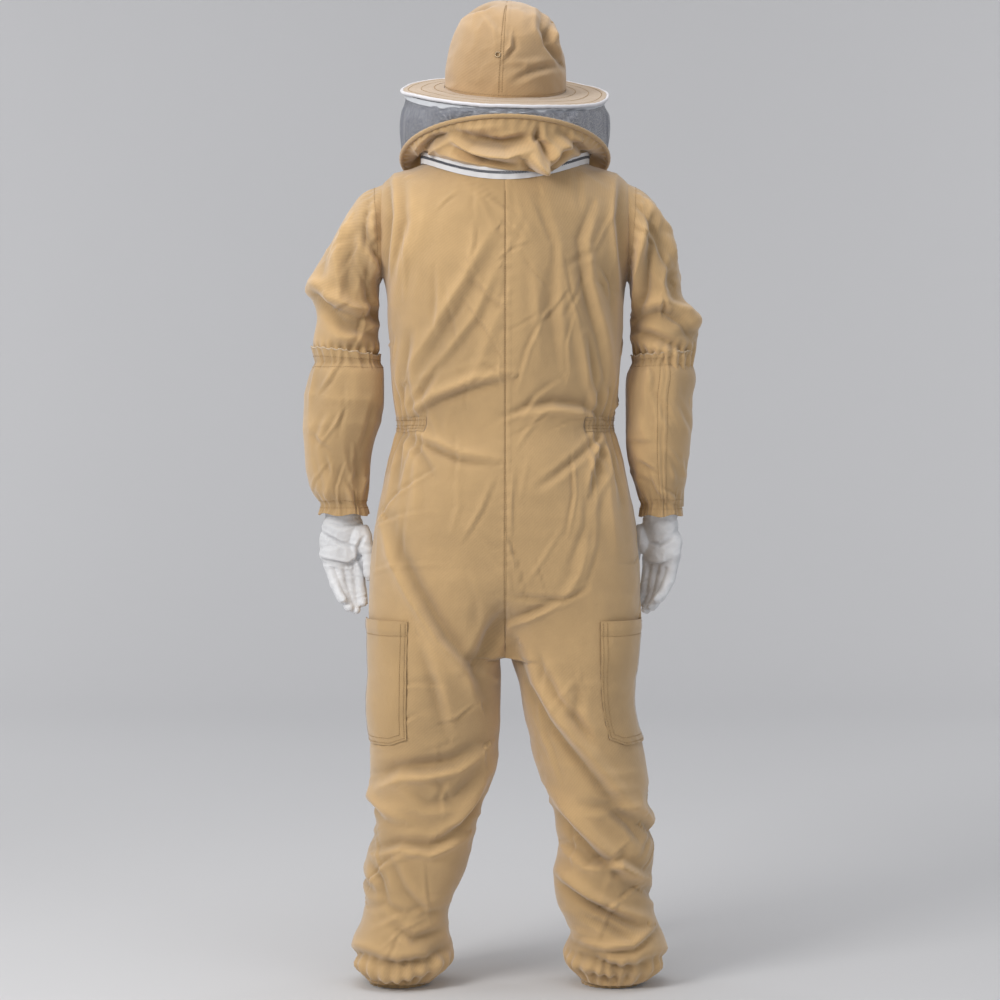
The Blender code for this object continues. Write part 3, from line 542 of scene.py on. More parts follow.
# ---------------------------------------------------------------- meshes
def make_mesh(name, points, faces, material, weave=None, relief=None, normals=None, smooth_faces=True):
    """An object from arrays. weave is a UV for each point, relief how far it stands proud or sunk."""
    points = np.asarray(points, np.float32)
    mesh = bpy.data.meshes.new(name)
    mesh.from_pydata(points.tolist(), [], faces if isinstance(faces, list) else faces.tolist())
    mesh.materials.append(material)
    mesh.polygons.foreach_set("use_smooth", np.full(len(mesh.polygons), smooth_faces))
    layer = mesh.uv_layers.new(name="weave")
    corner = np.zeros(len(mesh.loops), np.int32)
    mesh.loops.foreach_get("vertex_index", corner)
    if weave is None:
        weave = np.stack([points[:, 0] + points[:, 1], points[:, 2]], axis=1)
    layer.data.foreach_set("uv", np.asarray(weave, np.float32)[corner].ravel())
    # The fold attribute carries the height into the materials, which paint light on ridges and shade in
    # hollows from it.
    attribute = mesh.attributes.new("fold", "FLOAT", "POINT")
    height = np.zeros(len(points)) if relief is None else relief
    attribute.data.foreach_set("value", np.clip(height / 0.010, -0.6, 0.6).astype(np.float32))
    if normals is not None:
        mesh.normals_split_custom_set_from_vertices(np.asarray(normals, float).tolist())
    obj = bpy.data.objects.new(name, mesh)
    bpy.context.scene.collection.objects.link(obj)
    return obj


def grid_quads(rows, columns, closed):
    """Faces of a grid, wound so that they face outwards."""
    last = columns if closed else columns - 1
    row, column = np.meshgrid(np.arange(rows - 1), np.arange(last), indexing="ij")
    following = (column + 1) % columns
    a, b = row * columns + column, row * columns + following
    return np.stack([a, b, b + columns, a + columns], axis=2).reshape(-1, 4)


def grid_weave(grid):
    """Lengths across and down a grid, in metres."""
    across = np.linalg.norm(np.diff(grid, axis=1), axis=2).mean(axis=0)
    down = np.linalg.norm(np.diff(grid, axis=0), axis=2).mean(axis=1)
    u = np.concatenate([[0], np.cumsum(across)])
    v = -np.concatenate([[0], np.cumsum(down)])
    return np.stack(np.meshgrid(u, v), axis=2)


def shell(name, grid, material, thickness=0.0012, closed=False, relief=None, rows=None, weave=None):
    """Cloth from rows of points running down: two layers joined round their edges.

    rows picks part of the grid, whose shading still runs on into the rest of it.
    """
    normals = grid_normals(grid, closed)
    if weave is None:
        weave = grid_weave(grid)
    relief = np.zeros(grid.shape[:2]) if relief is None else relief
    if rows is not None:
        grid, normals, weave, relief = (item[rows] for item in (grid, normals, weave, relief))
    count_rows, columns = grid.shape[:2]
    outer = grid.reshape(-1, 3)
    facing = normals.reshape(-1, 3)
    quads = grid_quads(count_rows, columns, closed)
    if thickness == 0:
        return make_mesh(name, outer, quads, material, weave.reshape(-1, 2), relief.ravel(), facing)
    inner = outer - facing * thickness
    total = count_rows * columns
    faces = [quads, quads[:, ::-1] + total]
    last = columns if closed else columns - 1
    step = np.arange(last)
    following = (step + 1) % columns
    end = (count_rows - 1) * columns
    faces.append(np.stack([following, step, step + total, following + total], axis=1))
    faces.append(np.stack([end + step, end + following, end + following + total, end + step + total],
                          axis=1))
    if not closed:
        side = np.arange(count_rows - 1) * columns
        faces.append(np.stack([side, side + columns, side + columns + total, side + total], axis=1))
        side = side + columns - 1
        faces.append(np.stack([side + columns, side, side + total, side + columns + total], axis=1))
    return make_mesh(name, np.concatenate([outer, inner]), np.concatenate(faces), material,
                     np.concatenate([weave.reshape(-1, 2)] * 2), np.concatenate([relief.ravel()] * 2),
                     np.concatenate([facing, -facing]))


def tube(points, radii, sides):
    """Points and faces of a capped tube along a line."""
    line = [Vector(p) for p in points]
    made, faces = [], []
    tangent = (line[1] - line[0]).normalized()
    across = tangent.orthogonal().normalized()
    for index, centre in enumerate(line):
        ahead = line[min(index + 1, len(line) - 1)] - line[max(index - 1, 0)]
        tangent = ahead.normalized()
        across = (across - tangent * across.dot(tangent)).normalized()
        up = tangent.cross(across)
        for side in range(sides):
            turn = TAU * side / sides
            made.append(centre + (across * math.cos(turn) + up * math.sin(turn)) * radii[index])
    for row in range(len(line) - 1):
        for side in range(sides):
            following = (side + 1) % sides
            faces.append((row * sides + side, row * sides + following,
                          (row + 1) * sides + following, (row + 1) * sides + side))
    faces.append(tuple(range(sides))[::-1])
    faces.append(tuple((len(line) - 1) * sides + side for side in range(sides)))
    return made, faces


def gather_parts(parts):
    """Join (points, faces) parts."""
    points, faces = [], []
    for more_points, more_faces in parts:
        start = len(points)
        points.extend(tuple(p) for p in more_points)
        faces.extend(tuple(start + corner for corner in face) for face in more_faces)
    return points, faces


def resample(line, step):
    """Points a step apart along a line, with the line's direction at each."""
    line = np.asarray(line, float)
    lengths = np.concatenate([[0], np.cumsum(np.linalg.norm(np.diff(line, axis=0), axis=1))])
    at = np.arange(step / 2, lengths[-1], step)
    spots = np.stack([np.interp(at, lengths, line[:, k]) for k in range(3)], axis=1)
    ahead = np.stack([np.interp(at + step / 3, lengths, line[:, k]) for k in range(3)], axis=1)
    way = ahead - spots
    return spots, way / np.maximum(np.linalg.norm(way, axis=1, keepdims=True), 1e-9), at, lengths


STITCH_PITCH, STITCH_LENGTH, STITCH_WIDTH, STITCH_RISE = 0.0042, 0.0031, 0.00055, 0.00045


def stitch_parts(line, normals):
    """Points and faces of a row of thread stitches lying on a surface."""
    spots, way, at, lengths = resample(line, STITCH_PITCH)
    normals = np.asarray(normals, float)
    up = np.stack([np.interp(at, lengths, normals[:, k]) for k in range(3)], axis=1)
    up = up / np.maximum(np.linalg.norm(up, axis=1, keepdims=True), 1e-9)
    across = np.cross(way, up)
    points, faces = [], []
    for spot, along, side, rise in zip(spots, way, across, up):
        start = len(points)
        for share, lift in ((-0.5, -0.2), (-0.2, 1.0), (0.2, 1.0), (0.5, -0.2)):
            middle = spot + along * STITCH_LENGTH * share + rise * STITCH_RISE * lift
            wide = STITCH_WIDTH * (1.0 if lift > 0 else 0.5)
            points.extend((middle - side * wide, middle + side * wide))
            points.append(middle + rise * STITCH_RISE * 0.8)
        for ring in range(3):
            a = start + ring * 3
            faces.extend(((a, a + 3, a + 5, a + 2), (a + 2, a + 5, a + 4, a + 1),
                          (a + 1, a + 4, a + 3, a)))
        faces.append((start, start + 2, start + 1))
        faces.append((start + 9, start + 10, start + 11))
    return points, faces


def stitches(name, runs):
    """One object of several rows of stitches, each a line and its normals."""
    points, faces = gather_parts([stitch_parts(line, normals) for line, normals in runs])
    thread = make_mesh(name, np.array(points), faces, THREAD)
    return thread


def sew(name, runs, body):
    """Rows of stitches that ride one body."""
    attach(stitches(name, runs), body)


# ---------------------------------------------------------------- coverall
HALF_COLUMNS = 180
INNER_COLUMNS = 46
ROW_STEP = 0.0052
SEAM_SHARES = (0.0007, 0.0017, 0.0036, 0.0080, 0.0092)
COLUMN_SHARES = np.unique(np.concatenate([np.linspace(0, 1, HALF_COLUMNS), SEAM_SHARES,
                                          1 - np.array(SEAM_SHARES)]))
COLUMN_ANGLES = 180 * COLUMN_SHARES
LEG_START, LEG_SWEEP = -50.0, 280.0

# Folds as drawn: seen from, kind, depth, width, then points across and up the suit.
BODY_FOLDS = (
    ("back", "roll", 0.0050, 0.0110, ((-0.206, 1.464), (-0.198, 1.394), (-0.206, 1.330), (-0.212, 1.262))),
    ("back", "roll", 0.0040, 0.0130, ((-0.174, 1.455), (-0.171, 1.384), (-0.188, 1.315), (-0.205, 1.250))),
    ("back", "ridge", 0.0025, 0.0140, ((-0.140, 1.420), (-0.150, 1.365), (-0.178, 1.300))),
    ("back", "roll", -0.0042, 0.0170, ((-0.018, 1.360), (-0.070, 1.270), (-0.120, 1.190), (-0.176, 1.108))),
    ("back", "roll", -0.0026, 0.0120, ((-0.010, 1.300), (-0.048, 1.215), (-0.100, 1.150), (-0.150, 1.095))),
    ("back", "ridge", 0.0022, 0.0110, ((-0.008, 1.235), (-0.040, 1.150), (-0.065, 1.090))),
    ("back", "roll", 0.0030, 0.0150, ((0.066, 1.425), (0.088, 1.340), (0.090, 1.220), (0.105, 1.120))),
    ("back", "ridge", 0.0022, 0.0100, ((0.050, 1.330), (0.056, 1.230), (0.062, 1.130))),
    ("back", "roll", 0.0048, 0.0125, ((0.158, 1.412), (0.138, 1.352), (0.146, 1.275), (0.172, 1.180),
                                      (0.185, 1.100))),
    ("back", "roll", -0.0040, 0.0110, ((0.205, 1.460), (0.196, 1.390), (0.204, 1.320), (0.212, 1.250))),
    ("back", "ridge", 0.0025, 0.0100, ((0.118, 1.300), (0.128, 1.210), (0.150, 1.110), (0.172, 1.045))),
    ("back", "roll", 0.0055, 0.0130, ((-0.180, 1.036), (-0.120, 1.072), (-0.052, 1.098), (0.010, 1.110))),
    ("back", "crease", 0.0048, 0.0085, ((-0.186, 1.052), (-0.182, 1.110), (-0.170, 1.190))),
    ("back", "crease", 0.0038, 0.0080, ((-0.184, 1.040), (-0.150, 1.078), (-0.118, 1.135))),
    ("back", "roll", 0.0050, 0.0110, ((-0.182, 1.018), (-0.130, 0.990), (-0.078, 0.968), (-0.020, 0.960))),
    ("back", "crease", 0.0042, 0.0080, ((-0.184, 1.012), (-0.150, 0.972), (-0.125, 0.930))),
    ("back", "crease", 0.0045, 0.0075, ((-0.188, 1.012), (-0.190, 0.955), (-0.200, 0.890))),
    ("back", "ridge", 0.0030, 0.0100, ((-0.172, 1.005), (-0.160, 0.940), (-0.162, 0.860))),
    ("back", "roll", 0.0062, 0.0120, ((0.176, 1.032), (0.140, 1.054), (0.088, 1.060), (0.030, 1.050))),
    ("back", "crease", 0.0042, 0.0080, ((0.176, 1.042), (0.160, 1.100), (0.150, 1.180))),
    ("back", "crease", 0.0045, 0.0080, ((0.180, 1.016), (0.140, 0.976), (0.090, 0.936), (0.060, 0.915))),
    ("back", "roll", -0.0042, 0.0095, ((0.182, 1.012), (0.162, 0.962), (0.150, 0.905))),
    ("back", "crease", 0.0042, 0.0075, ((0.190, 1.012), (0.198, 0.950), (0.212, 0.880))),
    ("back", "ridge", 0.0030, 0.0110, ((0.186, 0.985), (0.186, 0.900), (0.198, 0.800))),
    ("back", "roll", -0.0075, 0.0170, ((-0.214, 0.850), (-0.196, 0.790), (-0.160, 0.720), (-0.112, 0.642),
                                        (-0.062, 0.585), (-0.044, 0.530))),
    ("back", "roll", 0.0040, 0.0150, ((-0.150, 0.640), (-0.124, 0.570), (-0.100, 0.470))),
    ("back", "crease", 0.0090, 0.0160, ((-0.004, 0.690), (-0.022, 0.655), (-0.042, 0.610),
                                        (-0.060, 0.585))),
    ("back", "crease", 0.0040, 0.0055, ((0.006, 0.722), (0.052, 0.716), (0.104, 0.712), (0.146, 0.733))),
    ("back", "roll", -0.0042, 0.0085, ((0.008, 0.670), (0.045, 0.684), (0.094, 0.707))),
    ("back", "ridge", 0.0035, 0.0100, ((0.104, 0.714), (0.132, 0.756), (0.150, 0.815))),
    ("back", "roll", 0.0078, 0.0170, ((0.028, 0.625), (0.046, 0.561), (0.092, 0.488), (0.150, 0.420),
                                       (0.196, 0.360), (0.240, 0.310))),
    ("back", "roll", 0.0040, 0.0120, ((0.070, 0.600), (0.100, 0.540), (0.150, 0.480))),
    ("back", "crease", 0.0050, 0.0120, ((0.132, 0.560), (0.126, 0.505), (0.150, 0.455))),
    ("back", "roll", -0.0085, 0.0165, ((-0.236, 0.372), (-0.190, 0.398), (-0.140, 0.402), (-0.088, 0.412),
                                        (-0.042, 0.440))),
    ("back", "crease", 0.0046, 0.0120, ((-0.180, 0.386), (-0.136, 0.346), (-0.092, 0.352),
                                        (-0.046, 0.396))),
    ("back", "crease", 0.0022, 0.0080, ((-0.128, 0.396), (-0.108, 0.364), (-0.092, 0.336))),
    ("back", "roll", 0.0060, 0.0120, ((-0.118, 0.286), (-0.080, 0.306), (-0.048, 0.345), (-0.030, 0.385))),
    ("back", "roll", -0.0060, 0.0115, ((-0.238, 0.250), (-0.188, 0.266), (-0.134, 0.258), (-0.076, 0.282))),
    ("back", "crease", 0.0050, 0.0090, ((-0.246, 0.232), (-0.222, 0.200), (-0.214, 0.165))),
    ("back", "crease", 0.0030, 0.0085, ((-0.250, 0.150), (-0.214, 0.160), (-0.178, 0.140),
                                        (-0.150, 0.160))),
    ("back", "roll", 0.0030, 0.0120, ((-0.200, 0.240), (-0.176, 0.190), (-0.140, 0.150), (-0.108, 0.150))),
    ("back", "crease", 0.0060, 0.0095, ((-0.200, 0.120), (-0.164, 0.096), (-0.118, 0.108))),
    ("back", "crease", 0.0095, 0.0105, ((-0.276, 0.066), (-0.236, 0.058), (-0.196, 0.050), (-0.140, 0.058),
                                         (-0.104, 0.074))),
    ("back", "roll", 0.0050, 0.0100, ((-0.258, 0.030), (-0.206, 0.022), (-0.150, 0.032))),
    ("back", "roll", 0.0088, 0.0160, ((0.086, 0.345), (0.128, 0.300), (0.182, 0.244), (0.232, 0.196))),
    ("back", "crease", 0.0060, 0.0100, ((0.140, 0.345), (0.188, 0.334), (0.226, 0.304), (0.250, 0.266))),
    ("back", "roll", -0.0060, 0.0120, ((0.108, 0.262), (0.150, 0.232), (0.212, 0.236), (0.262, 0.206))),
    ("back", "roll", 0.0090, 0.0125, ((0.098, 0.204), (0.150, 0.170), (0.206, 0.142), (0.256, 0.122))),
    ("back", "crease", 0.0050, 0.0080, ((0.140, 0.140), (0.186, 0.120), (0.230, 0.094))),
    ("back", "crease", 0.0085, 0.0095, ((0.118, 0.064), (0.160, 0.060), (0.206, 0.040), (0.262, 0.050))),
    ("back", "roll", 0.0062, 0.0095, ((0.122, 0.086), (0.182, 0.076), (0.232, 0.082), (0.278, 0.112))),
    ("back", "crease", 0.0055, 0.0075, ((0.136, 0.034), (0.186, 0.022), (0.240, 0.026))),
    ("front", "roll", 0.0050, 0.0130, ((0.180, 1.020), (0.130, 1.050), (0.060, 1.066))),
    ("front", "roll", 0.0050, 0.0130, ((-0.180, 1.020), (-0.126, 1.054), (-0.050, 1.060))),
    ("front", "crease", 0.0045, 0.0090, ((0.184, 1.010), (0.140, 0.960), (0.100, 0.920))),
    ("front", "crease", 0.0045, 0.0090, ((-0.184, 1.010), (-0.146, 0.966), (-0.110, 0.900))),
    ("front", "roll", -0.0048, 0.0150, ((0.196, 1.420), (0.168, 1.340), (0.150, 1.240), (0.160, 1.130))),
    ("front", "roll", 0.0048, 0.0150, ((-0.198, 1.420), (-0.172, 1.330), (-0.158, 1.230), (-0.170, 1.120))),
    ("front", "roll", 0.0060, 0.0150, ((0.206, 0.790), (0.150, 0.700), (0.080, 0.620), (0.040, 0.580))),
    ("front", "roll", -0.0060, 0.0150, ((-0.210, 0.800), (-0.150, 0.690), (-0.084, 0.622),
                                        (-0.036, 0.590))),
    ("front", "crease", 0.0060, 0.0120, ((0.020, 0.660), (0.070, 0.672), (0.128, 0.664))),
    ("front", "crease", 0.0060, 0.0120, ((-0.020, 0.655), (-0.064, 0.672), (-0.130, 0.660))),
    ("front", "roll", 0.0085, 0.0180, ((0.250, 0.420), (0.180, 0.386), (0.110, 0.392), (0.070, 0.410))),
    ("front", "roll", -0.0085, 0.0180, ((-0.236, 0.408), (-0.170, 0.378), (-0.100, 0.386),
                                        (-0.040, 0.430))),
    ("front", "crease", 0.0070, 0.0130, ((0.104, 0.300), (0.170, 0.262), (0.240, 0.276))),
    ("front", "crease", 0.0070, 0.0130, ((-0.070, 0.290), (-0.150, 0.250), (-0.230, 0.270))),
    ("front", "roll", 0.0080, 0.0140, ((0.108, 0.150), (0.176, 0.190), (0.256, 0.160))),
    ("front", "roll", 0.0080, 0.0140, ((-0.104, 0.160), (-0.170, 0.186), (-0.244, 0.150))),
    ("front", "crease", 0.0080, 0.0110, ((0.126, 0.082), (0.190, 0.060), (0.274, 0.078))),
    ("front", "crease", 0.0080, 0.0110, ((-0.110, 0.078), (-0.180, 0.056), (-0.262, 0.072))),
    ("right", "roll", 0.0060, 0.0150, ((-0.090, 0.330), (-0.030, 0.290), (0.040, 0.300), (0.090, 0.340))),
    ("right", "crease", 0.0060, 0.0110, ((-0.080, 0.190), (0.0, 0.160), (0.080, 0.180))),
    ("right", "crease", 0.0070, 0.0100, ((-0.080, 0.060), (0.0, 0.048), (0.080, 0.066))),
    ("left", "roll", 0.0060, 0.0150, ((-0.090, 0.310), (-0.030, 0.340), (0.040, 0.320), (0.090, 0.280))),
    ("left", "crease", 0.0060, 0.0110, ((-0.080, 0.176), (0.0, 0.200), (0.080, 0.160))),
    ("left", "crease", 0.0070, 0.0100, ((-0.080, 0.070), (0.0, 0.050), (0.080, 0.058))),
)


LOOSE_FOLDS = (
    loose_creases(41, 46, "back", (-0.19, 0.19), (0.70, 1.45), 0, (0.05, 0.17), (0.0009, 0.0019))
    + loose_creases(42, 16, "back", (-0.18, 0.18), (1.02, 1.42), 60, (0.04, 0.11), (0.0008, 0.0015))
    + loose_creases(43, 30, "back", (-0.24, 0.24), (0.06, 0.62), 62, (0.05, 0.13), (0.0009, 0.0021))
    + loose_creases(45, 18, "back", (-0.24, 0.24), (0.10, 0.62), -10, (0.05, 0.14), (0.0008, 0.0016))
    + loose_creases(5, 44, "front", (-0.20, 0.20), (0.66, 1.40), 8, (0.05, 0.17), (0.0009, 0.0020))
    + loose_creases(6, 46, "front", (-0.24, 0.24), (0.06, 0.62), 60, (0.04, 0.14), (0.0012, 0.0030))
    + loose_creases(7, 22, "right", (-0.10, 0.10), (0.08, 1.20), 50, (0.04, 0.12), (0.0010, 0.0026))
    + loose_creases(8, 22, "left", (-0.10, 0.10), (0.08, 1.20), -50, (0.04, 0.12), (0.0010, 0.0026))
)


def shoulder_lift(points):
    """Round the shoulder line over the top of the armhole and the sleeve head."""
    reach = np.abs(points[..., 0])
    keys = (0.0, 0.165, 0.190, 0.205, 0.2225, 0.240, 0.255, 0.270, 0.290, 0.312, 0.335, 1.0)
    rises = (0.0, 0.0, 0.006, 0.012, 0.013, 0.008, 0.0, -0.007, -0.010, -0.007, 0.0, 0.0)
    lifted = points.copy()
    lifted[..., 2] += np.interp(reach, keys, rises) * smooth((points[..., 2] - 1.34) / 0.10)
    return lifted


def height_round(angles, front, side, back):
    """Heights of rings that dip at the front and the back, at angles from the front."""
    angles = np.abs((angles + 180) % 360 - 180)
    rise = np.where(angles <= 90, front + (side - front) * smooth((angles - 45) / 45),
                    back + (side - back) * np.sin(np.radians(angles)) ** 2)
    return rise


def torso_rows(levels, shares):
    """Right half of the body at levels of the table; shares run from front to back."""
    section = curve(levels, np.arange(len(TORSO)), TORSO)[:, :, None]
    turn = np.radians(180 * shares)[None, :]
    power = 2 / section[:, 0]
    x = section[:, 1] * signed_power(np.sin(turn), power)
    middle, half = (section[:, 2] + section[:, 3]) / 2, (section[:, 2] - section[:, 3]) / 2
    y = middle + half * signed_power(np.cos(turn), power)
    z = height_round(180 * shares[None, :], section[:, 4], section[:, 5], section[:, 6])
    return np.stack([x, y, z], axis=2)


def leg_rows(word, heights, angles):
    """Right-handed rings of a leg at heights; angles run from the front to the outer side."""
    table = np.asarray(LEGS[word])[::-1]
    section = curve(heights, table[:, 0], table[:, 1:])[:, :, None]
    turn = np.radians(angles)[None, :]
    power = 2 / LEG_ROUNDNESS
    middle, half = (section[:, 0] + section[:, 1]) / 2, (section[:, 1] - section[:, 0]) / 2
    x = middle + half * signed_power(np.sin(turn), power)
    y = section[:, 2] * signed_power(np.cos(turn), power)
    return np.stack([x, y, np.broadcast_to(heights[:, None], x.shape)], axis=2)


def half_suit(word):
    """Body rows (front to back) above the crotch and closed leg rings below it, right-handed."""
    shares = COLUMN_SHARES
    side_heights = np.array([section[5] for section in TORSO])
    body_z = np.arange(NECK[5], CROTCH + ROW_STEP / 2, -ROW_STEP)
    body_z = np.append(body_z[body_z > CROTCH + 0.002], CROTCH)
    leg_z = np.append(np.arange(CROTCH - 0.004, 0.0125, -ROW_STEP), 0.011)
    levels = np.interp(body_z, side_heights, np.arange(len(TORSO)))
    body = torso_rows(levels, shares)
    angles = LEG_START + LEG_SWEEP * shares
    join = body_z < 0.76
    lower = leg_rows(word, body_z[join], angles)
    share = smooth((0.745 - body_z[join]) / 0.150)[:, None, None]
    body[join] = body[join] * (1 - share) + lower * share
    from_front, from_back = shares * 0.72, (1 - shares) * 0.72
    for edge, away in ((0, from_front), (-1, from_back)):
        body[:, :, 0] -= body[:, edge:edge + 1 or None, 0][:, :1] * np.exp(-(away / 0.035) ** 2)[None, :]
    inner_steps = np.arange(1, INNER_COLUMNS + 1)
    inner_angles = LEG_START + LEG_SWEEP + (360 - LEG_SWEEP) * inner_steps / (INNER_COLUMNS + 1)
    leg = leg_rows(word, leg_z, np.concatenate([angles, inner_angles]))

    def pull(points):
        """Draw the middle seam in towards the crotch."""
        near = smooth((0.715 - points[..., 2]) / 0.11) * smooth((points[..., 2] - 0.545) / 0.055)
        points[..., 1] *= 1 - 0.34 * near * np.exp(-(points[..., 0] / 0.035) ** 2)
    pull(body)
    pull(leg)
    crotch_row = np.empty((1, leg.shape[1], 3))
    crotch_row[0, :len(shares)] = body[-1]
    across = inner_steps / (INNER_COLUMNS + 1)
    crotch_row[0, len(shares):] = body[-1, -1] * (1 - across[:, None]) + body[-1, 0] * across[:, None]
    crotch_row[0, len(shares):, 2] -= 0.003 * np.sin(math.pi * across)
    leg = np.concatenate([crotch_row, leg])
    return body, leg, len(shares)


def wrinkles(points):
    """Small uneven folds of worn cotton, stronger where the suit is gathered or bunched."""
    x, z = points[..., 0], points[..., 2]
    bent = swayed(points, 0.02, 9, 3)
    wide = wander(bent * (9.0, 9.0, 4.5), 11)
    level = creased(bent, (9.0, 9.0, 26.0), 12)
    upright = creased(bent, (24.0, 24.0, 6.0), 13)
    fine = wander(bent * (34.0, 34.0, 34.0), 14)
    ankle = smooth((0.17 - z) / 0.14)
    knee = bump(z, 0.33, 0.12)
    waist = bump(z, WAIST, 0.06) * smooth((np.abs(x) - 0.11) / 0.06)
    body = smooth((z - 0.55) / 0.1)
    return (0.0035 * wide + level * (0.0008 + 0.0050 * ankle + 0.0022 * knee) * (1 - 0.6 * body)
            + upright * (0.0009 * body + 0.0022 * waist) + 0.0006 * fine)


def seams(points, normals):
    """The groove and the felled layer down the middle of the back."""
    x, z = points[..., 0], points[..., 2]
    back = smooth((-normals[..., 1] - 0.2) / 0.3) * smooth((z - 0.600) / 0.02)
    groove = (-0.0011 * bump(x, 0.0, 0.0016)
              + 0.0007 * smooth((x - 0.0012) / 0.001) * smooth((0.0105 - x) / 0.001))
    pucker = 0.0007 * np.sin(z * TAU / 0.021 + 2 * wander(points * 30, 21)) * bump(x, 0.003, 0.012)
    return back * (groove + pucker)


def gathers(points, angles):
    """Pleats over the elastic on both sides of the waist."""
    z = points[..., 2]
    inside = smooth((angles - 46) / 8) * smooth((140 - angles) / 8)
    spread = angles * 0.0034
    wobble = 0.35 * noise_at(spread * 30, z * 14, 0.0, 31)
    tight = np.sin(spread * TAU / 0.0125 + wobble * 4) * bump(z, WAIST, 0.014)
    above_and_below = bump(z, WAIST - 0.04, 0.05) + bump(z, WAIST + 0.04, 0.04)
    loose = np.sin(spread * TAU / 0.031 + wobble * 6) * above_and_below
    pinch = -0.0045 * bump(z, WAIST, 0.016)
    return inside * (0.0019 * tight + 0.0024 * loose + pinch)


def hem(points, height):
    """Gathers of a leg above its cuff."""
    x, y, z = points[..., 0], points[..., 1], points[..., 2]
    turn = np.arctan2(y, np.abs(x) - CUFF_CENTRE)
    pleat = np.sin(turn * 23 + 3 * wander(points * 20, 41))
    return 0.0030 * pleat * smooth((height - z) / 0.035) * smooth((z - 0.008) / 0.012)


def suit_heights(grid, normals, angles):
    """How proud the cloth of the coverall stands. Round the neck and along the zip it is flatter."""
    height = draw_folds(grid, normals, BODY_FOLDS) + wrinkles(grid) + seams(grid, normals)
    height += draw_folds(grid, normals, LOOSE_FOLDS)
    height = height + gathers(grid, angles) + hem(grid, 0.075)
    below_neck = smooth((NECK[4] + 0.115 - grid[..., 2]) / 0.1)
    beside_neck = smooth((np.abs(grid[..., 0]) - 0.10) / 0.05)
    height *= np.minimum(1.0, 0.25 + (below_neck + beside_neck))
    front_flat = smooth((normals[..., 1] - 0.5) / 0.3) * smooth((0.03 - np.abs(grid[..., 0])) / 0.015)
    return height * (1 - front_flat * smooth((grid[..., 2] - 0.70) / 0.05))


def build_suit_cloth():
    """Both halves of the coverall: body rows, leg rings, columns of a body row, heights of the folds."""
    made = {}
    for word, sign in SIDES:
        body, leg, outer = half_suit(word)
        for grid in (body, leg):
            grid[..., 0] *= sign
        tall = np.concatenate([body, leg[1:, :outer]])
        tall_normals = grid_normals(tall, False) * sign
        tall_normals[:, (0, -1), 0] = 0
        body_normals = tall_normals[:len(body)]
        leg_normals = grid_normals(leg, True) * sign
        leg_normals[0, :outer] = body_normals[-1]
        leg_normals[0, outer:] = (0, 0, -1)
        reliefs = []
        for grid, normals, turned in ((body, body_normals, COLUMN_ANGLES[None, :]),
                                      (leg, leg_normals, np.zeros((1, leg.shape[1])))):
            reliefs.append(suit_heights(grid, normals, np.broadcast_to(turned, grid.shape[:2])))
        reliefs[1][0] = np.append(reliefs[0][-1], np.zeros(leg.shape[1] - outer))
        body = body + body_normals * reliefs[0][..., None]
        leg = leg + leg_normals * reliefs[1][..., None]
        body[:, (0, -1), 0] = 0
        body = shoulder_lift(body)
        body[..., 2] += 0.0036 * smooth(1 - np.arange(len(body)) / 7)[:, None]
        leg[0] = np.concatenate([body[-1], leg[0, outer:]])
        leg[0, outer:, 0] = 0
        inner_depth = smooth((leg[..., 2] - 0.5) / 0.1) * (leg[..., 0] * sign < 0.0015)
        leg[..., 0] = np.where(inner_depth > 0, 0.0015 * sign * (np.arange(len(leg))[:, None] > 0),
                               leg[..., 0])
        made[word] = (body, leg, outer, reliefs)
    return made


def oriented(grid, sign):
    """Columns in the order that makes the left side face outwards too."""
    return grid if sign > 0 else grid[:, ::-1]


def cut_armholes(obj):
    """Trim the body at the armhole planes, keeping its shading, and return the two edge loops."""
    mesh = obj.data
    normal_store = mesh.attributes.new("kept_normal", "FLOAT_VECTOR", "POINT")
    stored = np.zeros(len(mesh.vertices) * 3, np.float32)
    mesh.vertex_normals.foreach_get("vector", stored)
    normal_store.data.foreach_set("vector", stored)
    work = bmesh.new()
    work.from_mesh(mesh)
    for side in (1, -1):
        centres = [(face, face.calc_center_median()) for face in work.faces]
        faces = [face for face, centre in centres if centre.z > 1.225 and centre.x * side > 0.15]
        parts = list(dict.fromkeys(part for face in faces for part in (*face.verts, *face.edges))) + faces
        bmesh.ops.bisect_plane(work, geom=parts, dist=1e-6, plane_co=(side * ARMHOLE_X, 0, 0),
                               plane_no=(side, 0, 0), clear_outer=True)
    work.to_mesh(mesh)
    work.free()
    kept = np.zeros(len(mesh.vertices) * 3, np.float32)
    mesh.attributes["kept_normal"].data.foreach_get("vector", kept)
    mesh.attributes.remove(mesh.attributes["kept_normal"])
    mesh.normals_split_custom_set_from_vertices(kept.reshape(-1, 3).astype(float).tolist())
    points = np.zeros(len(mesh.vertices) * 3, np.float32)
    mesh.vertices.foreach_get("co", points)
    points = points.reshape(-1, 3).astype(float)
    loops = {}
    for word, side in SIDES:
        on_edge = (np.abs(points[:, 0] - side * ARMHOLE_X) < 1e-4) & (points[:, 2] > 1.24)
        loops[word] = points[on_edge]
    return loops


def ring_at_armhole(loop, columns):
    """The armhole edge as points at even turns, from the front over the top to the back."""
    middle = (loop.min(axis=0) + loop.max(axis=0)) / 2
    half = (loop.max(axis=0) - loop.min(axis=0)) / 2
    turn = np.arctan2((loop[:, 2] - middle[2]) / half[2], (loop[:, 1] - middle[1]) / half[1]) % TAU
    order = np.argsort(turn)
    turn, loop = turn[order], loop[order]
    turn = np.concatenate([turn[-1:] - TAU, turn, turn[:1] + TAU])
    loop = np.concatenate([loop[-1:], loop, loop[:1]])
    at = TAU * np.arange(columns) / columns
    return np.stack([np.interp(at, turn, loop[:, k]) for k in range(3)], axis=1)


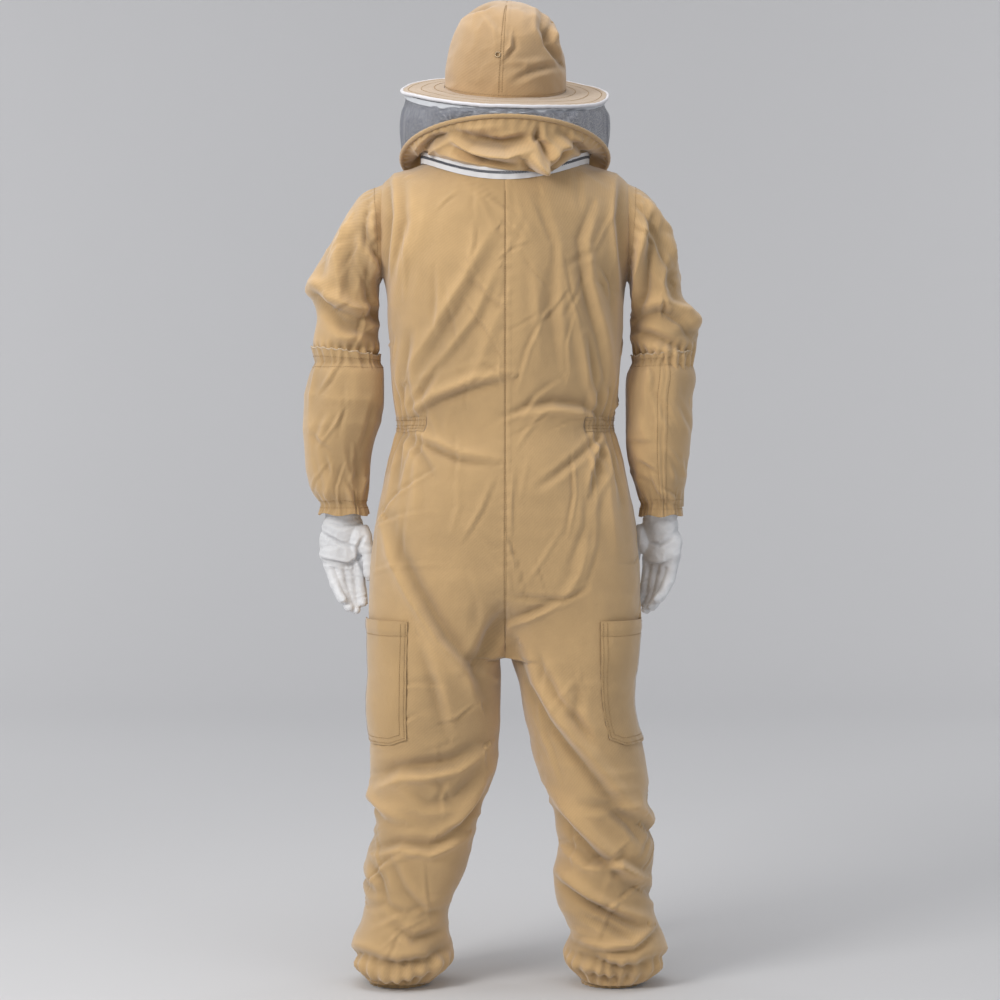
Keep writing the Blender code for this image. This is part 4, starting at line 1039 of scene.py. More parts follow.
ARM_COLUMNS = 132
ARM_STEP = 0.0046


def arm_ring(section, sign, columns=ARM_COLUMNS):
    """A ring of points round the arm from the front over the outer side to the back."""
    outer_x, outer_z, inner_x, inner_z, middle_y, half_depth = section
    turn = TAU * np.arange(columns) / columns
    outer = np.array((outer_x, middle_y, outer_z))
    inner = np.array((inner_x, middle_y, inner_z))
    ring = (outer + inner) / 2 + (outer - inner) / 2 * np.sin(turn)[:, None]
    ring[:, 1] += half_depth * np.cos(turn)
    ring[:, 0] *= sign
    return ring


def arm_grid(rings, step=ARM_STEP):
    """Smooth rows of points through rings."""
    rings = np.asarray(rings)
    middles = rings.mean(axis=1)
    keys = np.concatenate([[0], np.cumsum(np.linalg.norm(np.diff(middles, axis=0), axis=1))])
    rows = max(2, int(keys[-1] / step) + 1)
    return curve(np.linspace(0, keys[-1], rows), keys, rings)


SLEEVE_FOLDS = (
    ("back", "roll", 0.0060, 0.0120, ((-0.236, 1.440), (-0.246, 1.380), (-0.244, 1.330))),
    ("back", "crease", 0.0075, 0.0110, ((-0.254, 1.372), (-0.232, 1.334), (-0.214, 1.312))),
    ("back", "ridge", 0.0050, 0.0130, ((-0.258, 1.352), (-0.236, 1.318), (-0.226, 1.300))),
    ("back", "roll", 0.0045, 0.0160, ((-0.290, 1.400), (-0.318, 1.330), (-0.322, 1.280))),
    ("back", "roll", -0.0045, 0.0130, ((-0.275, 1.390), (-0.292, 1.320), (-0.290, 1.260), (-0.262, 1.230))),
    ("back", "roll", 0.0074, 0.0150, ((-0.356, 1.280), (-0.318, 1.248), (-0.262, 1.224), (-0.236, 1.234))),
    ("back", "crease", 0.0070, 0.0100, ((-0.342, 1.252), (-0.290, 1.208), (-0.242, 1.190))),
    ("back", "crease", 0.0060, 0.0090, ((-0.248, 1.290), (-0.246, 1.250), (-0.226, 1.205))),
    ("back", "ridge", 0.0045, 0.0100, ((-0.330, 1.205), (-0.290, 1.180), (-0.245, 1.176))),
    ("back", "roll", 0.0060, 0.0150, ((0.236, 1.440), (0.284, 1.370), (0.304, 1.290))),
    ("back", "roll", -0.0080, 0.0120, ((0.262, 1.392), (0.250, 1.330), (0.246, 1.268), (0.230, 1.212))),
    ("back", "roll", -0.0045, 0.0130, ((0.300, 1.330), (0.290, 1.280), (0.298, 1.240))),
    ("back", "roll", 0.0072, 0.0150, ((0.236, 1.226), (0.284, 1.238), (0.322, 1.222), (0.350, 1.192))),
    ("back", "crease", 0.0070, 0.0090, ((0.234, 1.196), (0.266, 1.188), (0.304, 1.170), (0.336, 1.156))),
    ("back", "ridge", 0.0050, 0.0100, ((0.236, 1.176), (0.262, 1.166), (0.300, 1.156))),
    ("front", "roll", 0.0070, 0.0150, ((0.240, 1.400), (0.290, 1.320), (0.330, 1.260))),
    ("front", "crease", 0.0080, 0.0120, ((0.240, 1.250), (0.290, 1.226), (0.350, 1.232))),
    ("front", "roll", -0.0070, 0.0150, ((-0.240, 1.400), (-0.286, 1.330), (-0.330, 1.270))),
    ("front", "crease", 0.0080, 0.0120, ((-0.240, 1.246), (-0.290, 1.224), (-0.350, 1.240))),
    ("right", "roll", 0.0026, 0.0150, ((-0.070, 1.188), (-0.010, 1.206), (0.060, 1.226))),
    ("left", "roll", 0.0026, 0.0150, ((-0.075, 1.284), (-0.020, 1.262), (0.050, 1.262))),
)


def scattered_arm_creases():
    """Loose creases over both halves of both arms, seen from behind and from the front."""
    strokes = []
    for view, seed in (("back", 21), ("front", 31)):
        for side in (-1, 1):
            wide = tuple(sorted((side * 0.235, side * 0.345)))
            strokes += loose_creases(seed, 16, view, wide, (1.20, 1.44), -side * 30, (0.03, 0.10),
                                     (0.001, 0.0026))
            strokes += loose_creases(seed + 1, 18, view, wide, (0.89, 1.12), -side * 20, (0.03, 0.11),
                                     (0.001, 0.0024))
    return strokes


ARM_LOOSE_FOLDS = scattered_arm_creases()


def sleeve_heights(grid, normals):
    """How proud the cloth of a sleeve stands: folds, pleats at the gauntlet, gathers at its head."""
    z = grid[..., 2]
    bent = swayed(grid, 0.02, 10, 53)
    level = creased(bent, (8.0, 8.0, 28.0), 51)
    upright = creased(bent, (26.0, 26.0, 6.0), 52)
    low = smooth((1.30 - z) / 0.10)
    height = draw_folds(grid, normals, SLEEVE_FOLDS) + 0.0030 * wander(bent * 9, 56)
    height += draw_folds(grid, normals, ARM_LOOSE_FOLDS)
    height += level * (0.0010 + 0.0034 * low) + upright * 0.0018 * smooth((z - 1.25) / 0.08)
    turn = TAU * np.arange(ARM_COLUMNS)[None, :] / ARM_COLUMNS
    height += (0.0028 * np.sin(turn * 21 + 3 * wander(grid * 20, 57)) * smooth((1.185 - z) / 0.03)
               * smooth((z - 1.03) / 0.08))
    height *= 1 - 0.7 * smooth((0.99 - z) / 0.06)
    rows = np.arange(len(grid))[:, None] * ARM_STEP
    height += 0.0016 * np.sin(turn * 26) * bump(rows, 0.010, 0.012) * smooth(rows / 0.006)
    return height * smooth(rows / 0.022)


def build_sleeve(word, sign, loop):
    """The sleeve from the armhole down into the gauntlet, split where two joints meet."""
    first = ring_at_armhole(loop, ARM_COLUMNS)
    rings = [first] + [shoulder_lift(arm_ring(section, sign)) for section in SLEEVES[word]]
    grid = oriented(arm_grid(rings), sign)
    normals = grid_normals(grid, True)
    height = sleeve_heights(grid, normals)
    grid = grid + normals * height[..., None]
    inner_limit = 0.2255 + 0.004 * smooth((1.29 - grid[..., 2]) / 0.02)
    grid[2:, :, 0] = sign * np.maximum(grid[2:, :, 0] * sign, inner_limit[2:])
    split = nearest_row(grid[..., 2], ELBOW_ROW)
    upper = shell("sleeve_upper_cloth_" + word, grid, KHAKI, 0, True, height, slice(0, split + 1))
    lower = shell("sleeve_elbow_cloth_" + word, grid, KHAKI, 0, True, height, slice(split, None))
    for piece, first_node in ((upper, "upper_sleeve_"), (lower, "fore_sleeve_")):
        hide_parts(first_node + word)
    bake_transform(upper)
    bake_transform(lower)
    run = (closed_row(grid, 2), closed_row(grid_normals(grid, True), 1))
    sew("armhole_stitches_" + word, [run], "coverall")


# The two elastics of a gauntlet: label, top height, bottom height and flat length.
GAUNTLET_ELASTICS = (("top", 1.147, 1.131, 0.40), ("wrist", 0.887, 0.872, 0.30))
GAUNTLET_STEP = 0.0042
GAUNTLET_SEAM_TURN = math.radians(176)


def gauntlet_heights(grid, normals, turn, uneven, seam):
    """How proud the cloth of a gauntlet stands: ruffles, pleats, creases and its long seam."""
    z = grid[..., 2]
    bent = swayed(grid, 0.02, 10, 63)
    upright = creased(bent, (30.0, 30.0, 4.5), 62)
    top = smooth((z - 1.120) / 0.02)
    wrist = smooth((0.915 - z) / 0.03)
    height = 0.0017 * np.sin(turn * 24 + uneven * 4) * top + 0.0016 * np.sin(turn * 17 + uneven * 3) * wrist
    height += draw_folds(grid, normals, ARM_LOOSE_FOLDS)
    height += upright * (0.0014 + 0.0022 * bump(z, 1.09, 0.03) + 0.0026 * bump(z, 0.93, 0.03))
    height += (0.0042 * wander(bent * 8, 66) - 0.0030 * bump(z, 1.139, 0.006)
               - 0.0024 * bump(z, 0.880, 0.006))
    height += creased(bent, (7.0, 7.0, 20.0), 67) * 0.0016
    offset = (np.arange(ARM_COLUMNS) - seam)[None, :]
    return height + (-0.0020 * (offset == 0) + 0.0008 * (np.abs(offset) <= 2))


def build_gauntlet_edge(word, ring, shading, turn):
    """Pale overlock stitching wrapped round the top edge of a gauntlet."""
    rough = 0.0013 + 0.0005 * np.sin(turn * 61 + 2 * np.sin(turn * 17))
    rings = []
    for side in range(9):
        spin = -TAU * side / 8
        out = rough * math.cos(spin) - 0.0006
        rise = np.stack([0 * rough, 0 * rough, rough * math.sin(spin)], axis=1)
        rings.append(ring + shading * out[:, None] + rise)
    overlock = shell("gauntlet_overlock_" + word, np.array(rings), OVERLOCK, 0, True)
    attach(overlock, "glove_" + word)


def build_gauntlet(word, sign):
    """The cotton gauntlet of a glove, with a ruffled top over elastic and a gathered wrist."""
    rings = [arm_ring(section, sign) for section in GAUNTLETS[word]]
    grid = oriented(arm_grid(rings, GAUNTLET_STEP), sign)
    normals = grid_normals(grid, True)
    z = grid[..., 2]
    turn = (TAU * np.arange(ARM_COLUMNS) / ARM_COLUMNS)[None, :]
    uneven = 1.5 * noise_at(np.cos(turn) * 4, np.sin(turn) * 4, z * 10, 61)
    seam_turn = GAUNTLET_SEAM_TURN if sign > 0 else TAU / 2 - GAUNTLET_SEAM_TURN
    seam = int(np.argmin(np.abs(np.angle(np.exp(1j * (turn[0] - seam_turn))))))
    height = gauntlet_heights(grid, normals, turn, uneven, seam)
    grid = grid + normals * height[..., None]
    grid[:5] -= normals[:5] * 0.0040 * np.linspace(1, 0, 5)[:, None, None]
    grid[:4, :, 2] += 0.0020 * np.sin(turn * 24 + uneven[:4] * 4) * np.linspace(1, 0, 4)[:, None]
    grid[-3:, :, 2] += 0.0022 * np.sin(turn * 5 + 1.0) * np.linspace(0, 1, 3)[:, None]
    grid[..., 0] = sign * np.maximum(grid[..., 0] * sign, ARMHOLE_X)
    piece = shell("gauntlet_cloth_" + word, grid, KHAKI, 0.0014, True, height)
    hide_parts("gauntlet_" + word)
    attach(piece, "glove_" + word)
    shading = grid_normals(grid, True)
    runs = []
    for column in (seam - 3, seam + 3):
        beside = column % ARM_COLUMNS
        runs.append((grid[4:-4, beside] + shading[4:-4, beside] * 0.0002, shading[4:-4, beside]))
    for _, top_z, bottom_z, _ in GAUNTLET_ELASTICS:
        for row in (nearest_row(z, top_z), nearest_row(z, bottom_z)):
            runs.append((closed_row(grid, row), closed_row(shading, row)))
    sew("gauntlet_stitches_" + word, runs, "glove_" + word)
    build_gauntlet_edge(word, grid[0], shading[0], turn[0])
    for label, top_z, bottom_z, length in GAUNTLET_ELASTICS:
        rows = slice(nearest_row(z, top_z), nearest_row(z, bottom_z) + 1)
        sunk = grid[rows] - shading[rows] * 0.0030
        band = shell("gauntlet_%s_casing_%s" % (label, word), sunk, CASING, 0.0016, True)
        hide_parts("gauntlet_%s_elastic_%s" % (label, word))
        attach(band, "glove_" + word)


CUFF_COLUMNS, CUFF_RIBS = 60, 20
CUFF_SECTIONS = ((0.3290, 0.915, 0.2610, 0.915, 0.020, 0.0330),
                 (0.3280, 0.875, 0.2620, 0.875, 0.020, 0.0320))


def build_sleeve_cuff(word, sign):
    """The ribbed cuff of a sleeve, under the gauntlet."""
    rings = [arm_ring(section, sign, CUFF_COLUMNS) for section in CUFF_SECTIONS]
    cuff = oriented(arm_grid(rings, 0.004), sign)
    wave = np.sin(TAU * np.arange(CUFF_COLUMNS) / CUFF_COLUMNS * CUFF_RIBS)
    ribs = 0.0010 * wave[None, :, None] * grid_normals(cuff, True)
    band = shell("sleeve_cuff_band_" + word, cuff + ribs, CASING, 0.0020, True)
    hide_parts("sleeve_cuff_" + word)
    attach(band, "forearm_" + word)


HAND = {
    "left": dict(centre=(0.2990, 0.022), turn=0.0, lean=0.020),
    "right": dict(centre=(0.2860, 0.022), turn=math.radians(38), lean=0.006),
}
# The palm as balls (centre, half size), the lengths of the fingers, and the thumb's line with its radii.
PALM = (
    ((0.002, 0.004, 0.808), (0.0425, 0.0205, 0.040)),
    ((0.000, 0.000, 0.838), (0.0375, 0.0235, 0.038)),
    ((0.000, 0.002, 0.868), (0.0345, 0.0290, 0.034)),
    ((0.004, 0.000, 0.788), (0.0405, 0.0200, 0.026)),
    ((-0.030, -0.008, 0.815), (0.0150, 0.0170, 0.030)),
)
FINGERS = (0.086, 0.099, 0.094, 0.078)
KNUCKLE_Z = 0.784
THUMB = ((-0.032, -0.004, 0.834), (-0.042, -0.010, 0.814), (-0.049, -0.014, 0.792),
         (-0.051, -0.016, 0.768), (-0.0495, -0.017, 0.748), (-0.048, -0.018, 0.738))
THUMB_RADII = (0.0150, 0.0150, 0.0132, 0.0118, 0.0095, 0.0040)
HAND_SIDES = 20


def ball(centre, size):
    """Points and faces of an ellipsoid."""
    work = bmesh.new()
    bmesh.ops.create_icosphere(work, subdivisions=3, radius=1.0)
    points = [Vector(centre) + Vector((v.co.x * size[0], v.co.y * size[1], v.co.z * size[2]))
              for v in work.verts]
    faces = [tuple(v.index for v in f.verts) for f in work.faces]
    work.free()
    return points, faces


def finger(number, length, lean):
    """A part-curled finger, from its knuckle to its tip."""
    root = -0.0285 + 0.0192 * number
    slim = 0.95 if number == 3 else 1.0
    points, radii = [], []
    for step in range(9):
        share = step / 8
        curl = 0.030 * share ** 1.6 * (1.0 + 0.15 * number)
        points.append((root - lean * share * (0.6 + 0.28 * number) - 0.002 * number * share, 0.004 - curl,
                       KNUCKLE_Z - length * math.sin(min(1.35, 1.5 * share)) / math.sin(1.35)))
        radii.append((0.0112 - 0.0026 * share) * (0.62 if step == 8 else 1.0) * slim)
    last = Vector(points[-1])
    points.append(tuple(last + (last - Vector(points[-2])).normalized() * 0.003))
    radii.append(0.0030)
    return tube(points, radii, HAND_SIDES)


def skin_over(points, faces):
    """One smooth skin over overlapping parts: its points, normals and faces."""
    mesh = bpy.data.meshes.new("hand")
    mesh.from_pydata(points, [], faces)
    obj = bpy.data.objects.new("hand", mesh)
    bpy.context.scene.collection.objects.link(obj)
    remesh = obj.modifiers.new("skin", "REMESH")
    remesh.mode = "VOXEL"
    remesh.voxel_size = 0.0019
    relax = obj.modifiers.new("relax", "SMOOTH")
    relax.factor = 0.5
    relax.iterations = 7
    evaluated = obj.evaluated_get(bpy.context.evaluated_depsgraph_get())
    skin = bpy.data.meshes.new_from_object(evaluated)
    bpy.data.objects.remove(obj)
    return (np.array([tuple(v.co) for v in skin.vertices]),
            np.array([tuple(v.vector) for v in skin.vertex_normals]),
            [tuple(p.vertices) for p in skin.polygons])


def build_hand(word, sign):
    """A soft leather hand: palm to the rear, fingers part curled."""
    spec = HAND[word]
    parts = [ball(centre, size) for centre, size in PALM]
    parts += [finger(number, length, spec["lean"]) for number, length in enumerate(FINGERS)]
    parts.append(tube(THUMB, THUMB_RADII, HAND_SIDES))
    points, faces = gather_parts(parts)
    turn = Matrix.Rotation(-spec["turn"], 3, "Z")
    placed = []
    for point in points:
        point = turn @ Vector(point)
        placed.append((sign * (spec["centre"][0] + point.x), spec["centre"][1] + point.y, point.z))
    if sign < 0:
        faces = [face[::-1] for face in faces]
    skin_points, skin_normals, skin_faces = skin_over(placed, faces)
    bent = swayed(skin_points, 0.006, 40, 73)
    height = draw_folds(skin_points, skin_normals, HAND_FOLDS)
    height += 0.0016 * wander(bent * 42, 71) + 0.0007 * creased(bent, (60, 60, 110), 72)
    height *= smooth((0.876 - skin_points[:, 2]) / 0.01)
    shaped = skin_points + skin_normals * height[:, None]
    # The relief is strengthened so that the painted shade in the leather's folds shows more.
    piece = make_mesh("leather_hand_" + word, shaped, skin_faces, LEATHER, relief=height * 2.5)
    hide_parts("leather_glove_" + word)
    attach(piece, "glove_" + word)


HAND_FOLDS = (
    ("back", "crease", 0.0042, 0.0042, ((-0.336, 0.776), (-0.312, 0.772), (-0.286, 0.768),
                                        (-0.262, 0.786))),
    ("back", "crease", 0.0034, 0.0040, ((-0.258, 0.820), (-0.270, 0.800), (-0.268, 0.776),
                                        (-0.262, 0.760))),
    ("back", "crease", 0.0028, 0.0040, ((-0.334, 0.826), (-0.300, 0.808), (-0.276, 0.802))),
    ("back", "crease", 0.0024, 0.0036, ((-0.326, 0.846), (-0.296, 0.838), (-0.268, 0.846))),
    ("back", "crease", 0.0030, 0.0038, ((0.262, 0.772), (0.282, 0.768), (0.304, 0.776))),
    ("back", "crease", 0.0028, 0.0038, ((0.264, 0.812), (0.284, 0.806), (0.306, 0.818))),
    ("front", "crease", 0.0022, 0.0036, ((-0.330, 0.790), (-0.300, 0.784), (-0.268, 0.790))),
    ("front", "crease", 0.0022, 0.0036, ((0.262, 0.790), (0.290, 0.784), (0.318, 0.790))),
)


# ---------------------------------------------------------------- cuffs, pockets and waist
def nearest_points(grid, cloth_points):
    """The point of the folded cloth that lies nearest to each point of a patch."""
    tree = KDTree(len(cloth_points))
    for index, point in enumerate(cloth_points):
        tree.insert(point, index)
    tree.balance()
    spots = grid.reshape(-1, 3)
    found = np.array([tuple(tree.find(spot)[0]) for spot in spots])
    return found.reshape(grid.shape)


def patch_pocket(name, grid, normals, cloth_points, material, corner, lift):
    """A patch pocket that follows the cloth, sewn at its sides and bottom, with a folded hem on top."""
    rows, columns = grid.shape[:2]
    inner = np.arange(columns) / (columns - 1)
    inner = inner if corner > 0 else 1 - inner
    cut = 0.055 * np.clip((inner - 0.74) / 0.26, 0, 1)
    at = np.arange(rows)[:, None] * (1 - cut[None, :])
    low = np.minimum(at.astype(int), rows - 2)
    part = (at - low)[..., None]
    column = np.arange(columns)[None, :]
    grid = grid[low, column] * (1 - part) + grid[low + 1, column] * part
    normals = normals[low, column] * (1 - part) + normals[low + 1, column] * part
    under = nearest_points(grid, cloth_points)
    clear = ((under - grid) * normals).sum(axis=2)
    clear = np.clip(clear, -0.016, 0.010)
    for _ in range(10):
        wide = np.pad(clear, 1, mode="edge")
        clear = (clear + wide[:-2, 1:-1] + wide[2:, 1:-1] + wide[1:-1, :-2] + wide[1:-1, 2:]) / 5
    down = np.linspace(0, 1, rows)[:, None]
    across = np.linspace(0, 1, columns)[None, :]
    open_top = smooth(1 - down / 0.9) * np.sin(math.pi * across) ** 0.8
    puff = lift * np.sin(math.pi * across) ** 0.7
    puff = puff * np.sin(math.pi * np.minimum(1, down * 0.9 + 0.08)) ** 0.6
    edge = np.minimum(np.minimum(across, 1 - across) * columns, np.minimum(1 - down, 1) * rows)
    pucker = 0.0007 * np.sin((down * rows + across * columns) * 0.9) * np.exp(-edge / 3)
    hem_band = 0.0012 * smooth((0.105 - down) / 0.012) - 0.0008 * bump(down, 0.112, 0.012)
    uneven = 0.0016 * wander(grid * 16, 81) + 0.0010 * creased(grid, (30, 30, 12), 82)
    height = (clear + 0.0022 + 0.35 * puff + 0.004 * open_top * smooth(1 - down / 0.25) + pucker + hem_band
              + uneven)
    shaped = grid + normals * height[..., None]
    # The relief over the cloth also sets the painted light and painted shade in the pocket's colour.
    piece = shell(name, shaped, material, 0.0016, False, height - clear)
    return piece, shaped


def edge_run(grid, inset):
    """A stitch line along the sides and the bottom of a patch, with its normals."""
    normals = grid_normals(grid, False)
    rows, columns = grid.shape[:2]
    path = [(row, inset) for row in range(1, rows - inset)]
    path += [(rows - 1 - inset, column) for column in range(inset, columns - inset)]
    path += [(row, columns - 1 - inset) for row in range(rows - 1 - inset, 0, -1)]
    index = tuple(np.array(path).T)
    return grid[index] + normals[index] * 0.0003, normals[index]


def hem_run(grid, row):
    """A stitch line across a patch."""
    normals = grid_normals(grid, False)
    return grid[row] + normals[row] * 0.0003, normals[row]


# The gathered cuff of a trouser leg: heights and radii of its rings.
TROUSER_CUFF = ((0.030, 0.0540), (0.026, 0.0535), (0.021, 0.0545), (0.015, 0.0535), (0.009, 0.0545),
                (0.004, 0.0530), (0.0002, 0.0535))
POCKET_STEP = 0.0045
WAIST_CASING_HALF = 0.0145


def build_trouser_cuff(word, sign):
    """The elastic cuff of a trouser leg."""
    turn = np.arange(96) / 96 * TAU
    rows = []
    for z, radius in TROUSER_CUFF:
        wave = radius + 0.0016 * np.sin(turn * 24 + z * 60)
        x = sign * (CUFF_CENTRE + wave * np.sin(turn))
        rows.append(np.stack([x, wave * np.cos(turn), turn * 0 + z], axis=1))
    band = shell("trouser_cuff_band_" + word, oriented(np.array(rows), sign), CASING, 0.0022, True)
    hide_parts("trouser_cuff_" + word)
    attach(band, "shin_" + word)


def blend_at_hip(piece):
    """Bake a piece's placement into its points."""
    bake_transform(piece)


def build_thigh_pocket(word, sign, leg, body):
    """The tool pocket on the back of a thigh, with its stitches."""
    grid = leg_rows(word, np.arange(0.674, 0.449, -POCKET_STEP), np.linspace(94, 160, 34))
    grid[..., 0] *= sign
    grid = oriented(grid, sign)
    normals = grid_normals(grid, False)
    points = np.concatenate([leg.reshape(-1, 3), body[-60:].reshape(-1, 3)])
    near = points[(points[:, 2] > 0.43) & (points[:, 2] < 0.70) & (points[:, 1] < 0.03)]
    pocket, shaped = patch_pocket("thigh_pocket_" + word, grid, normals, near, POCKET, sign, 0.010)
    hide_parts("tool_pocket_" + word)
    runs = [edge_run(shaped, 1), edge_run(shaped, 3), hem_run(shaped, 6)]
    thread = stitches("thigh_pocket_stitches_" + word, runs)
    for piece in (pocket, thread):
        blend_at_hip(piece)


def build_waist_casing(word, sign, body):
    """The casing of the elastic at one side of the waist, with its stitches."""
    heights = body[:, len(COLUMN_ANGLES) // 2, 2]
    row_pick = np.where(np.abs(heights - WAIST) < WAIST_CASING_HALF)[0]
    column_pick = np.where((COLUMN_ANGLES > 50) & (COLUMN_ANGLES < 136))[0]
    strip = body[row_pick[0]:row_pick[-1] + 1, column_pick[0]:column_pick[-1] + 1]
    strip = oriented(strip, sign)
    shading = grid_normals(strip, False)
    casing = shell("waist_casing_" + word, strip + shading * 0.0012, CASING, 0.0010, False)
    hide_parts("waist_elastic_" + word)
    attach(casing, "coverall")
    runs = [hem_run(strip + shading * 0.0014, row) for row in (1, len(strip) // 2, len(strip) - 2)]
    sew("waist_stitches_" + word, runs, "coverall")


def build_coverall(cloth_halves):
    """The body of the coverall and the stitches of its back seam. Returns the edges of its armholes."""
    points, faces, weaves, reliefs, shades = [], [], [], [], []
    start = 0
    runs = []
    for word, sign in SIDES:
        body, leg, outer, relief = cloth_halves[word]
        tall = np.concatenate([body, leg[1:, :outer]])
        normals = grid_normals(tall, False) * sign
        normals[:, (0, -1), 0] = 0
        normals /= np.linalg.norm(normals, axis=2, keepdims=True)
        rows, columns = body.shape[:2]
        quads = grid_quads(rows, columns, False)
        if sign < 0:
            quads = quads[:, ::-1]
        points.append(body.reshape(-1, 3))
        faces.append(quads + start)
        weaves.append(grid_weave(body).reshape(-1, 2) * (sign, 1))
        reliefs.append(relief[0].ravel())
        shades.append(normals[:rows].reshape(-1, 3))
        start += rows * columns
        beside_front = int(np.argmin(np.abs(COLUMN_ANGLES - 180 * SEAM_SHARES[0])))
        back = len(COLUMN_ANGLES) - 1 - beside_front
        top, bottom = 3, rows - 3
        runs.append((body[top:bottom, back] + normals[top:bottom, back] * 0.0003,
                     normals[top:bottom, back]))
    coverall = make_mesh("coverall_cloth", np.concatenate(points), np.concatenate(faces), KHAKI,
                         np.concatenate(weaves), np.concatenate(reliefs), np.concatenate(shades))
    loops = cut_armholes(coverall)
    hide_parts("back_panel_left", "back_panel_right", "front_panel_left", "front_panel_right",
                "crotch_gusset")
    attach(coverall, "coverall")
    sew("back_seam_stitches", runs, "coverall")
    return loops


def build_legs(cloth_halves):
    """The legs, split at the knees, with the details of each side."""
    for word, sign in SIDES:
        body, leg, outer, relief = cloth_halves[word]
        grid = oriented(leg, sign)
        height = oriented(relief[1], sign)
        split = int(np.argmin(np.abs(leg[:, outer // 2, 2] - KNEE_ROW)))
        upper = shell("leg_upper_cloth_" + word, grid, KHAKI, 0, True, height, slice(0, split + 1))
        lower = shell("leg_lower_cloth_" + word, grid, KHAKI, 0, True, height, slice(split, None))
        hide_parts("thigh_" + word)
        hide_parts("shin_" + word)
        blend_at_hip(upper)
        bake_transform(lower)
        build_trouser_cuff(word, sign)
        build_thigh_pocket(word, sign, leg, body)
        build_waist_casing(word, sign, body)


# ---------------------------------------------------------------- hood
def tilted(radius, angle, rise, centre, tilt, roll=0.0):
    """Points on tilted circles. Angles run from the front towards +X."""
    turn = np.radians(angle)
    x, y = radius * np.sin(turn), radius * np.cos(turn)
    x, y, z = np.broadcast_arrays(x, y, rise)
    x, z = x * math.cos(roll) + z * math.sin(roll), z * math.cos(roll) - x * math.sin(roll)
    y, z = y * math.cos(tilt) - z * math.sin(tilt), y * math.sin(tilt) + z * math.cos(tilt)
    return np.stack([x + centre[0], y + centre[1], z + centre[2]], axis=-1)


HAT_FOLDS = (
    ("back", "crease", 0.0070, 0.0085, ((-0.070, 1.768), (-0.046, 1.774), (-0.020, 1.786))),
    ("back", "roll", -0.0022, 0.0095, ((-0.036, 1.760), (-0.016, 1.728), (-0.010, 1.694), (-0.004, 1.664))),
    ("back", "crease", 0.0055, 0.0080, ((0.066, 1.776), (0.064, 1.732), (0.086, 1.700), (0.112, 1.664))),
    ("back", "roll", 0.0055, 0.0080, ((0.082, 1.742), (0.078, 1.706), (0.100, 1.682))),
    ("back", "crease", 0.0045, 0.0065, ((0.092, 1.734), (0.104, 1.708), (0.110, 1.684))),
    ("back", "crease", 0.0046, 0.0070, ((0.014, 1.634), (0.045, 1.652), (0.075, 1.664), (0.100, 1.670))),
    ("back", "roll", -0.0034, 0.0062, ((0.014, 1.716), (0.013, 1.694), (-0.008, 1.670))),
    ("back", "ridge", 0.0020, 0.0060, ((0.000, 1.668), (0.036, 1.668), (0.064, 1.674))),
    ("back", "ridge", 0.0035, 0.0090, ((-0.012, 1.730), (-0.004, 1.712), (-0.006, 1.692))),
    ("front", "crease", 0.0050, 0.0090, ((-0.050, 1.770), (0.000, 1.760), (0.052, 1.768))),
    ("front", "roll", 0.0040, 0.0100, ((0.070, 1.740), (0.060, 1.700), (0.080, 1.670))),
)


EYELET = np.mean(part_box("crown_eyelet"), axis=0)
HAT_ANGLES = even_angles(240)
CROWN_SEAM = 184


def crown_heights(grid, normals, rise, around, front):
    """How proud the cloth of the crown stands, with its seams and the dip round its eyelet."""
    low = smooth((0.045 - rise) / 0.04)
    bent = swayed(grid, 0.02, 12, 93)
    height = draw_folds(grid, normals, HAT_FOLDS) * (1 - 0.5 * low)
    height += 0.0036 * wander(bent * 15, 91) + 0.0010 * creased(bent, 34, 92)
    height *= smooth(rise / 0.012) * smooth((0.1590 - rise) / 0.004)
    height += -0.0008 * bump(around, 0, 0.0016) + 0.0006 * smooth((0.009 - around) / 0.002)
    from_eyelet = np.linalg.norm(grid - EYELET, axis=-1)
    height = height * smooth((from_eyelet - 0.007) / 0.016) - 0.0030 * bump(from_eyelet, 0, 0.0040)
    return height + -0.0012 * bump(front, 0, 0.0016)


def build_crown():
    """The crown of the hat, and the stitch lines along its seam and its base."""
    profile = np.asarray(CROWN)[::-1]
    lengths = np.concatenate([[0], np.cumsum(np.linalg.norm(np.diff(profile, axis=0), axis=1))])
    shape = curve(np.linspace(0, lengths[-1], 62), lengths, profile)
    radius, rise = shape[:, :1], shape[:, 1:]
    oval = 1 + 0.020 * np.cos(2 * np.radians(HAT_ANGLES))[None, :]
    grid = tilted(radius * oval, HAT_ANGLES[None, :], rise, BRIM_CENTRE, BRIM_TILT, HAT_ROLL)
    normals = grid_normals(grid, True)
    around = np.abs(np.angle(np.exp(1j * np.radians(HAT_ANGLES - CROWN_SEAM))))[None, :] * radius
    front = np.abs(np.angle(np.exp(1j * np.radians(HAT_ANGLES))))[None, :] * radius
    height = crown_heights(grid, normals, rise, around, front)
    grid = grid + normals * height[..., None]
    crown = shell("hat_crown_cloth", grid, HAT_CLOTH, 0.0014, True, height)
    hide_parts("hat_crown_left", "hat_crown_right")
    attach(crown, "hood")
    shading = grid_normals(grid, True)
    seam = int(np.argmin(np.abs(HAT_ANGLES - CROWN_SEAM)))
    runs = []
    for beside in (seam - 1, seam + 1):
        runs.append((grid[8:-3, beside] + shading[8:-3, beside] * 0.0002, shading[8:-3, beside]))
    runs.append((closed_row(grid, -3), closed_row(shading, -3)))
    return runs


